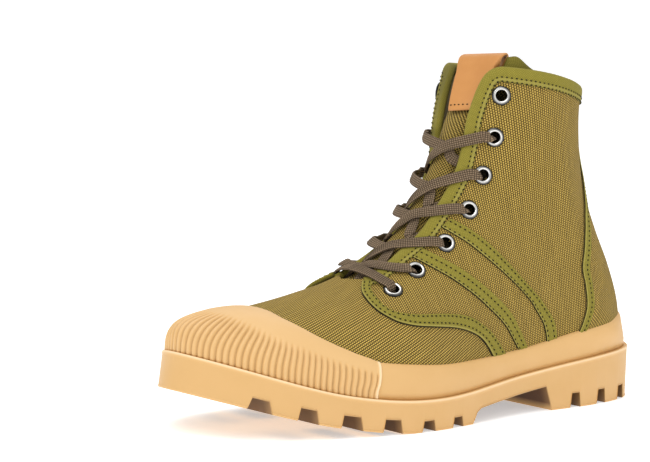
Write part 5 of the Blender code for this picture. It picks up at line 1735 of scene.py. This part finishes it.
# Painted shade down the hole and on the flange's outer slope, and a faint painted highlight on its crest
EYELET_SECTION = (
    # radius, height over the canvas, painted shading: down the barrel, round the washer inside, and over the
    # flange
    (2.70, 0.50, 1.0),
    (2.60, -0.6, 1.0),
    (2.60, -2.4, 1.0),
    (2.75, -2.95, 0.6),
    (3.2, -3.15, 0.3),
    (4.1, -2.95, 0.3),
    (4.2, -2.5, 0.3),
    (3.1, -2.3, 0.0),
    (3.0, -0.2, 0.0),
    (4.8, -0.1, 1.0),
    (4.95, 0.10, 1.0),
    (4.88, 0.36, 1.0),
    (4.65, 0.66, 0.95),
    (4.35, 0.88, 0.88),
    (4.0, 1.06, 0.75),
    (3.75, 1.16, 0.15),
    (3.4, 1.16, -0.1),
    (3.1, 1.0, 0.0),
    (2.9, 0.82, 0.75),
)
EYELET_AROUND = 36


def make_eyelets(finishes):
    """The fourteen eyelets as one mesh: a section of flange, barrel and washer turned about each hole's
    axis."""
    spin = np.linspace(0.0, 2 * np.pi, EYELET_AROUND, endpoint=False)
    section = np.array(EYELET_SECTION)
    points, nodes = [], []
    for side, word in SIDES:
        for number in range(len(EYELETS)):
            row, turn = eyelet_place(number, side)
            place = laid(row, turn, side, 0.0)
            out = last_normal(np.array(row), np.array(turn), side)
            first = unit(np.cross(out, UP))
            second = np.cross(out, first)
            flat = first * np.cos(spin)[:, None] + second * np.sin(spin)[:, None]
            points.append(place + flat[:, None] * section[None, :, :1] + out * section[None, :, 1:2])
            nodes.append("eyelet_%s_%d" % (word, number + 1))
    points = np.array(points)
    count, around, rows = points.shape[:3]
    one = grid_quads(around, rows, close_rows=True, close_columns=True)
    quads = (one[None] + (np.arange(count) * rows * around)[:, None, None]).reshape(-1, 4)
    painted_shading = np.broadcast_to(section[:, 2], (count, around, rows))
    make_piece("metal_eyelets", points.reshape(-1, 3), quads, finishes["metal"], nodes, painted_shading=painted_shading)


LACE_WIDTH = 5.6
LACE_THICK = 1.2
LACE_LIFT = 1.7
LACE_STAND_OFF = 4.2
LACE_ASIDE = 5.0
LACE_DROP = 0.6
LACE_CLEAR = 0.62
LACE_TWIST = 0.7
ROW_RISE = 10.0
ROW_STEPS = 16
LACE_DIP = -1.5
LACE_UNDER = -3.4
LACE_UNDER_REACH = 2.2

# A crossing: how far inside the throat it starts, how far short of its eyelet it ends on each side, where its
# climb ends, and its number of places
CROSSING_START = 3.6
CROSSING_SHORT = {1: 3.6, -1: 1.0}
CROSSING_CLIMB = 2.0
CROSSING_STEPS = 11

# The bar: places as shares of its half, and how far its middle sags and bows out
BAR_SHARES = (0.0, 0.3, 0.55, 0.8)
BAR_SAG = 0.15
BAR_BOW = 0.8

# The section: points over it, how square it is, its ribs and the troughs between them
LACE_POINTS = 26
LACE_SQUARE = 5
LACE_RIBS = 5
LACE_RIB = 0.22
LACE_TROUGH = 0.1

# Along the route: steps to a place, where it takes the inner facing's form and twist, how steep it may be to
# follow the canvas, a short step across, and the steps of smoothing
LACE_FINE = 14
LACE_FORM = (-1.0, 3.0)
LACE_TWISTS = (-4.0, 2.0)
LACE_STEEP = (0.25, 0.7)
LACE_PROBE = 0.5
LACE_SMOOTH = 15
HOLE_RUN = (
    # distance beyond the eyelet's middle, lift, width
    (-2.4, 1.85, 5.5),
    (-1.2, 1.3, 5.1),
    (-0.6, -0.2, 4.7),
    (-0.5, -1.8, 4.4),
    (-1.2, -3.0, 4.4),
)
FAR_HOLE_RUN = (
    # distance beyond the eyelet's middle, lift, width
    (0.3, 4.2, 5.5),
    (1.5, 3.6, 5.4),
    (2.0, 2.4, 5.0),
    (1.5, 1.0, 4.6),
    (0.6, -0.3, 4.4),
    (0.2, -1.8, 4.4),
    (-0.8, -3.0, 4.4),
)


def row_at(level, across, guess):
    """The last's row where its surface has this height at a distance from the ridge, found by steps."""
    rows = np.zeros(np.shape(across)) + guess
    for _ in range(ROW_STEPS):
        rows = rows + (level - over_last(rows, across, 0.0)[..., 2]) / ROW_RISE
    return rows


def eyelet_across(number, side):
    """Distance of an eyelet from the ridge, across the boot; the outer side is positive."""
    row, turn = eyelet_place(number, side)
    return float(last_point(np.array(row), np.array(turn), side)[1] - last_row(np.array(row))["middle"])


def hole_run(number, side, level=True):
    """Places of the lace going down through an eyelet: row, distance from the ridge, lift, width. It keeps
    the eyelet's height or else its row. On the inner side it stands off, passes over the hole and folds
    back."""
    row = EYELETS[number][0]
    across = eyelet_across(number, side)
    run = np.array(HOLE_RUN if side > 0 else FAR_HOLE_RUN)
    places = across + side * run[:, 0]
    rows = np.full(len(run), row)
    if level:
        rows = row_at(float(over_last(row, across, 0.0)[2]), places, row)
    return list(zip(rows, places, run[:, 1], run[:, 2]))


def crossing_run(number, middle, low, side):
    """Places of the lace from under the far facing, over the tongue and its own facing, to its eyelet:
    straight in its height from each end to the crossing, where the strand to the outer side lies on top."""
    high = EYELETS[number - 1][0]
    start = -side * (float(throat_half(low, -side)) - CROSSING_START)
    hole = eyelet_across(number - 1, side)
    end = hole - side * CROSSING_SHORT[side]
    across = np.linspace(start, end, CROSSING_STEPS)
    along = np.interp(across * side, (start * side, LACE_ASIDE * side, end * side), (-1.0, 0.0, 1.0))
    own = side * float(throat_half(high, side))
    climb = np.clip((across - start) / (own - side * CROSSING_CLIMB - start), 0.0, 1.0)
    top = LACE_LIFT if side > 0 else LACE_STAND_OFF
    lifts = LACE_DIP + (top - LACE_DIP) * climb + side * LACE_CLEAR * np.sin(np.pi * climb)
    marks = ((low, start), (middle, LACE_ASIDE), (high, hole))
    level = [float(over_last(row, place, 0.0)[2]) for row, place in marks]
    level = np.interp(along, (-1.0, 0.0, 1.0), level)
    rows = row_at(level, across, np.interp(along, (-1.0, 0.0, 1.0), (low, middle, high)))
    return [(rows[k], across[k], lifts[k], LACE_WIDTH) for k in range(len(across))]


def lace_half(first_side):
    """Places of half the lace, from the middle of its bar to the top eyelet that it uses: over, down through
    an eyelet, up under the facing to the next row, and across."""
    row = EYELETS[0][0]
    end = eyelet_across(0, first_side)
    run = []
    for share in BAR_SHARES:
        bow = np.cos(share * np.pi / 2)
        run.append((row - BAR_SAG * bow, end * share, LACE_LIFT + BAR_BOW * bow, LACE_WIDTH))
    run += hole_run(0, first_side, level=False)
    side = first_side
    for number, middle, low in LACE_ROWS:
        low = low if side < 0 else middle - LACE_DROP
        edge = side * float(throat_half(low, side))
        here = EYELETS[number - 2][0]
        run.append(((here + low) / 2, edge + side * LACE_UNDER_REACH, LACE_UNDER, LACE_WIDTH))
        side = -side
        run += crossing_run(number, middle, low, side)
        run += hole_run(number - 1, side)
    return np.array(run)


def make_lace(finishes):
    """The lace: a flat section with round edges and lengthwise ribs, carried along each half of its route.
    Its flat side follows the canvas on top, and turns with the route where it goes down through an
    eyelet."""
    profile = np.linspace(0.0, 1.0, LACE_POINTS)
    lobe = np.sqrt(np.clip(1 - np.abs(2 * profile - 1) ** LACE_SQUARE, 0.0, 1.0))
    ribs = LACE_RIB * np.cos(np.pi * LACE_RIBS * profile) ** 2
    upper = lobe * (LACE_THICK / 2 - LACE_TROUGH + ribs)
    aside = np.concatenate([profile - 0.5, (profile - 0.5)[::-1][1:-1]])
    height = np.concatenate([upper, -upper[::-1][1:-1]])
    for first_side, word in ((1, "outer"), (-1, "inner")):
        run = lace_half(first_side)
        fine = resample(run, LACE_FINE * len(run))
        inner = throat_half(fine[:, 0], -1)
        form = facing_form(fine[:, 0], -1, over_last(fine[:, 0], fine[:, 1], 0.0))
        fine[:, 2] += form * ramp(-fine[:, 1], inner + LACE_FORM[0], inner + LACE_FORM[1])
        path = over_last(fine[:, 0], fine[:, 1], fine[:, 2])
        surface_out = unit(over_last(fine[:, 0], fine[:, 1], fine[:, 2] + 1.0) - path)
        middle = np.zeros(len(fine))
        ridge_out = unit(over_last(fine[:, 0], middle, middle + 1.0) - over_last(fine[:, 0], middle, middle))
        twist = ramp(-fine[:, 1], inner + LACE_TWISTS[0], inner + LACE_TWISTS[1])
        twist = LACE_TWIST * twist[:, None]
        surface_out = unit(surface_out * (1 - twist) + ridge_out * twist)
        ahead = unit(np.gradient(path, axis=0))
        across_way = over_last(fine[:, 0], fine[:, 1] + LACE_PROBE, fine[:, 2]) - path
        beside = carried(ahead, np.cross(ahead[0], surface_out[0]))
        wanted = unit(np.cross(ahead, surface_out))
        flat = np.abs((ahead * surface_out).sum(axis=1))
        sign = np.sign((beside * wanted).sum(axis=1))[:, None]
        trust = (1 - ramp(flat, *LACE_STEEP)) * np.linalg.norm(across_way, axis=1) / LACE_PROBE
        trust = trust.clip(0.0, 1.0)[:, None]
        beside = smooth_along(beside * (1 - trust) + wanted * sign * trust, LACE_SMOOTH)
        beside = unit(beside - ahead * (beside * ahead).sum(axis=1, keepdims=True))
        out = np.cross(beside, ahead)
        rings = path[:, None] + beside[:, None] * aside[None, :, None] * fine[:, 3][:, None, None]
        rings = rings + out[:, None] * height[None, :, None]
        nodes = ["lace_bar"] if first_side > 0 else ["lace_cross_%d" % row[0] for row in LACE_ROWS]
        ring_piece("flat_lace_" + word, rings, finishes["lace"], nodes)


def carried(ahead, first):
    """A sideways direction carried along a path without twist: at each step it is turned by as much as the
    path turns."""
    beside = np.empty_like(ahead)
    beside[0] = first / np.linalg.norm(first)
    for k in range(1, len(ahead)):
        turned = beside[k - 1] - ahead[k] * np.dot(beside[k - 1], ahead[k])
        beside[k] = turned / np.linalg.norm(turned)
    return beside


# Leather: tab and badge

TAB_THICK = 1.5
TAB_CLIMB = 0.6
# Painted shade on the tab's inner face, in the hollow of its fold
TAB_HOLLOW_PAINTED_SHADE = 0.75
TAB_LINES = 90
TAB_COLUMNS = 40
TAB_STEPS = 10
TAB_SIDE = (
    # share across from its side, share of the thickness
    (0.0, 0.35),
    (0.004, 0.75),
    (0.012, 0.95),
)
TAB_SIDE_FLAT = 0.03
TAB_ENDS = (0.4, 0.8)
TAB_STITCHES = 4


def make_tab(finishes):
    """The tongue tab: a strip folded over the tongue's top. A section with rounded ends is carried across it;
    its front foot is sewn down with one row of stitches."""
    fold = resample(TAB_FOLD, TAB_LINES)
    side = np.array(TAB_SIDE)
    flat = np.linspace(TAB_SIDE_FLAT, 1 - TAB_SIDE_FLAT, TAB_COLUMNS)
    share = np.concatenate([side[:, 0], flat, 1 - side[::-1, 0]])
    plump = np.concatenate([side[:, 1], np.ones(TAB_COLUMNS), side[::-1, 1]])
    across = fold[:, 2][None, :] + (fold[:, 3] - fold[:, 2])[None, :] * share[:, None]
    at = np.broadcast_to(fold[:, 0], across.shape)
    middle = over_last(at, across, fold[:, 1][None, :])
    top = int(middle[0, :, 2].argmax())
    climb = middle[-1, top, 2] - middle[0, top, 2] + TAB_CLIMB
    level = middle[:1, :, 2] + climb * share[:, None]
    for _ in range(TAB_STEPS):
        at = at + (level - middle[..., 2]) / ROW_RISE
        middle = over_last(at, across, fold[:, 1][None, :])
    drawn = ramp(fold[:, 0], *STRAIGHT_ROWS)[:, None]
    middle = straightened(middle.swapaxes(0, 1), across.T, drawn).swapaxes(0, 1)
    out = unit(np.cross(np.array([0.0, 1.0, 0.0]), unit(np.gradient(middle, axis=1))))
    ends = np.ones(len(fold))
    ends[[0, -1]] = TAB_ENDS[0]
    ends[[1, -2]] = TAB_ENDS[1]
    half = TAB_THICK / 2 * plump[:, None, None] * ends[None, :, None]
    rings = np.concatenate([middle + out * half, (middle - out * half)[:, ::-1]], axis=1)
    # The inner face gets painted shade for the hollow of the fold
    painted_shading = np.concatenate([np.zeros(len(fold)), np.full(len(fold), TAB_HOLLOW_PAINTED_SHADE)])
    ring_piece("leather_tab", rings, finishes["leather"], ["tongue_tab"], painted_shading=painted_shading)
    sewn = slice(len(side), -len(side))
    line = (middle + out * half)[sewn, TAB_STITCHES]
    return [(line, out[sewn, TAB_STITCHES], STITCH_PITCH)]


BADGE_AROUND = 72
BADGE_PASSES = 6
BADGE_SECTION = (
    # share of the radius, height over the canvas
    (0.02, 1.75),
    (0.3, 1.74),
    (0.55, 1.7),
    (0.74, 1.62),
    (0.80, 1.42),
    (0.84, 1.36),
    (0.88, 1.45),
    (0.95, 1.45),
    (0.985, 1.2),
    (1.0, 0.8),
    (1.0, -0.2),
    (0.02, -0.2),
)
BADGE_GROOVE = 5


def make_badge(upper, finishes):
    """The ankle badge: rings about its centre pressed to the canvas, raised with a domed face and a groove
    for its stitches."""
    spin = np.linspace(0.0, 2 * np.pi, BADGE_AROUND, endpoint=False)
    section = np.array(BADGE_SECTION)
    flat = np.stack([np.cos(spin), np.zeros(BADGE_AROUND), np.sin(spin)], axis=1)
    start = np.array(BADGE_CENTRE) + flat[:, None] * section[None, :, :1] * BADGE_RADIUS
    on = start
    for _ in range(BADGE_PASSES):
        on, out = pressed(upper, on * [0.0, 1.0, 0.0] + start * [1.0, 0.0, 1.0])
    rings = on + out * section[None, :, 1:]
    ring_piece("leather_badge", rings, finishes["badge"], ["ankle_badge"], close_rows=True)
    sewn = [np.concatenate([values[:, BADGE_GROOVE], values[:2, BADGE_GROOVE]]) for values in (rings, out)]
    return [(*sewn, BADGE_PITCH)]


# Insole, floor, light and camera

INSOLE_INSET = 10.4
INSOLE_STATIONS = 120
INSOLE_COLUMNS = 21
INSOLE_THICK = 3.0
INSOLE_EDGE = 0.06
INSOLE_EDGE_THICK = 0.5
INSOLE_DISH = 0.5
INSOLE_DISH_OVER = (0.1, 0.5)


def make_insole(finishes):
    """The insole: a plate with a soft edge and a slight dish, from side to side at each station."""
    outer, inner = sole_sides(INSOLE_INSET, INSOLE_STATIONS)
    outer, inner = outer[1:-1], inner[1:-1]
    share = np.linspace(0.0, 1.0, INSOLE_COLUMNS)[None, :, None]
    across = outer[:, None] * (1 - share) + inner[:, None] * share
    base = sole_height(across[..., 0], RIM) + GAP
    edge = np.minimum(share, 1 - share)[..., 0]
    thick = INSOLE_THICK * (1 - INSOLE_EDGE_THICK * (1 - ramp(edge, 0.0, INSOLE_EDGE)))
    top = base + thick - INSOLE_DISH * ramp(edge, *INSOLE_DISH_OVER)
    faces = [np.concatenate([across, height[..., None]], axis=-1) for height in (top, base)]
    rings = np.concatenate([faces[0], faces[1][:, ::-1]], axis=1)
    ring_piece("cloth_insole", rings, finishes["lining"], ["insole"])


FLOOR_GLOW = 0.42
FLOOR_ROUGHNESS = 0.7
FLOOR_COLOUR = (0.93, 0.93, 0.93, 1.0)
FLOOR_REACH = 60.0
WHITE = (1.0, 1.0, 1.0, 1.0)


def make_floor():
    """A wide pale floor."""
    made, _, shader = start_finish("pale floor", FLOOR_ROUGHNESS)
    shader.inputs["Base Color"].default_value = FLOOR_COLOUR
    shader.inputs["Emission Color"].default_value = WHITE
    shader.inputs["Emission Strength"].default_value = FLOOR_GLOW
    mesh = bpy.data.meshes.new("floor")
    ways = ((-1, -1), (1, -1), (1, 1), (-1, 1))
    mesh.from_pydata([(FLOOR_REACH * x, FLOOR_REACH * y, 0.0) for x, y in ways], [], [(0, 1, 2, 3)])
    mesh.materials.append(made)
    floor = show("floor", mesh)


LIGHTS = (
    # name, place in metres, size, power
    ("key", (1.3, 0.5, 1.6), 1.2, 13.0),
    ("top", (0.35, 0.1, 1.9), 1.2, 11.0),
    ("fill", (-0.6, 1.6, 0.9), 1.6, 4.5),
    ("back", (-0.8, -1.0, 1.6), 1.4, 6.0),
)
LIGHT_TARGET = np.array([0.0, 0.0, 0.08])
SKY = 0.66


def posed(right, up, back, place):
    """A turn and a place as one matrix."""
    turned = np.eye(4)
    turned[:3] = np.stack([right, up, back, place], axis=1)
    return Matrix(turned.tolist())


def make_lights():
    """Soft studio light: large lamps towards the boot, and an even white surround."""
    for name, place, size, power in LIGHTS:
        lamp = bpy.data.lights.new(name, "AREA")
        lamp.size = size
        lamp.energy = power
        back = unit(np.array(place) - LIGHT_TARGET)
        right = unit(np.cross(UP, back))
        show(name, lamp).matrix_world = posed(right, np.cross(back, right), back, place)
    world = bpy.data.worlds.new("surround")
    world.use_nodes = True
    sky = world.node_tree.nodes["Background"]
    sky.inputs["Color"].default_value = WHITE
    sky.inputs["Strength"].default_value = SKY
    bpy.context.scene.world = world


def make_camera():
    """The photograph's camera: back from the target by the distance, moved aside, and rolled."""
    turn, rise, roll = np.radians([CAMERA_TURN, CAMERA_RISE, CAMERA_ROLL])
    back = np.array([np.sin(turn) * np.cos(rise), -np.cos(turn) * np.cos(rise), np.sin(rise)])
    level = np.array([np.cos(turn), np.sin(turn), 0.0])
    upright = np.cross(back, level)
    right = np.cos(roll) * level + np.sin(roll) * upright
    up = -np.sin(roll) * level + np.cos(roll) * upright
    place = np.array(CAMERA_TARGET) + CAMERA_ASIDE[0] * right + CAMERA_ASIDE[1] * up
    place = place + CAMERA_DISTANCE * back
    view = bpy.data.cameras.new("camera")
    view.sensor_width = SENSOR_WIDTH
    view.lens = CAMERA_FOCUS / PICTURE_WIDTH * SENSOR_WIDTH
    item = show("camera", view)
    item.matrix_world = posed(right, up, back, placed(place))
    bpy.context.scene.camera = item


def dress():
    """Makes every piece of the boot, then the floor, light and camera."""
    make_camera()
    finishes = make_finishes()
    upper = make_upper(finishes)
    make_outsole(finishes)
    make_foxing(upper, finishes)
    make_toe_cap(upper, finishes)
    seams = make_counter(upper, finishes)
    for side, word in SIDES:
        nodes = ["facing_tape_" + word] + (["collar_binding"] if side > 0 else [])
        seams += make_binding(side, finishes, nodes)
        for name, table, thick, rows, proud in BANDS:
            start_proud = proud if side < 0 else 0.0
            seams += make_band(name + "_" + word, table, side, thick, rows, start_proud, finishes)
    seams += make_tab(finishes)
    seams += make_badge(upper, finishes)
    make_stitches("seam_stitches", seams, finishes)
    make_tongue(finishes)
    make_eyelets(finishes)
    make_lace(finishes)
    make_insole(finishes)
    add_wall(upper, WALL)
    make_floor()
    make_lights()


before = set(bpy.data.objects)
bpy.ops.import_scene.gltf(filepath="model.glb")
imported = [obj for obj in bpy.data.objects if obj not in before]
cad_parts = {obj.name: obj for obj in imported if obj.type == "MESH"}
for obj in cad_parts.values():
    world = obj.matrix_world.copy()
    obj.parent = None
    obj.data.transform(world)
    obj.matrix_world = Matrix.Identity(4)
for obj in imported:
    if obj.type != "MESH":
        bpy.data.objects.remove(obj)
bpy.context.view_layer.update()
bpy.context.scene.view_settings.view_transform = "Standard"
dress()
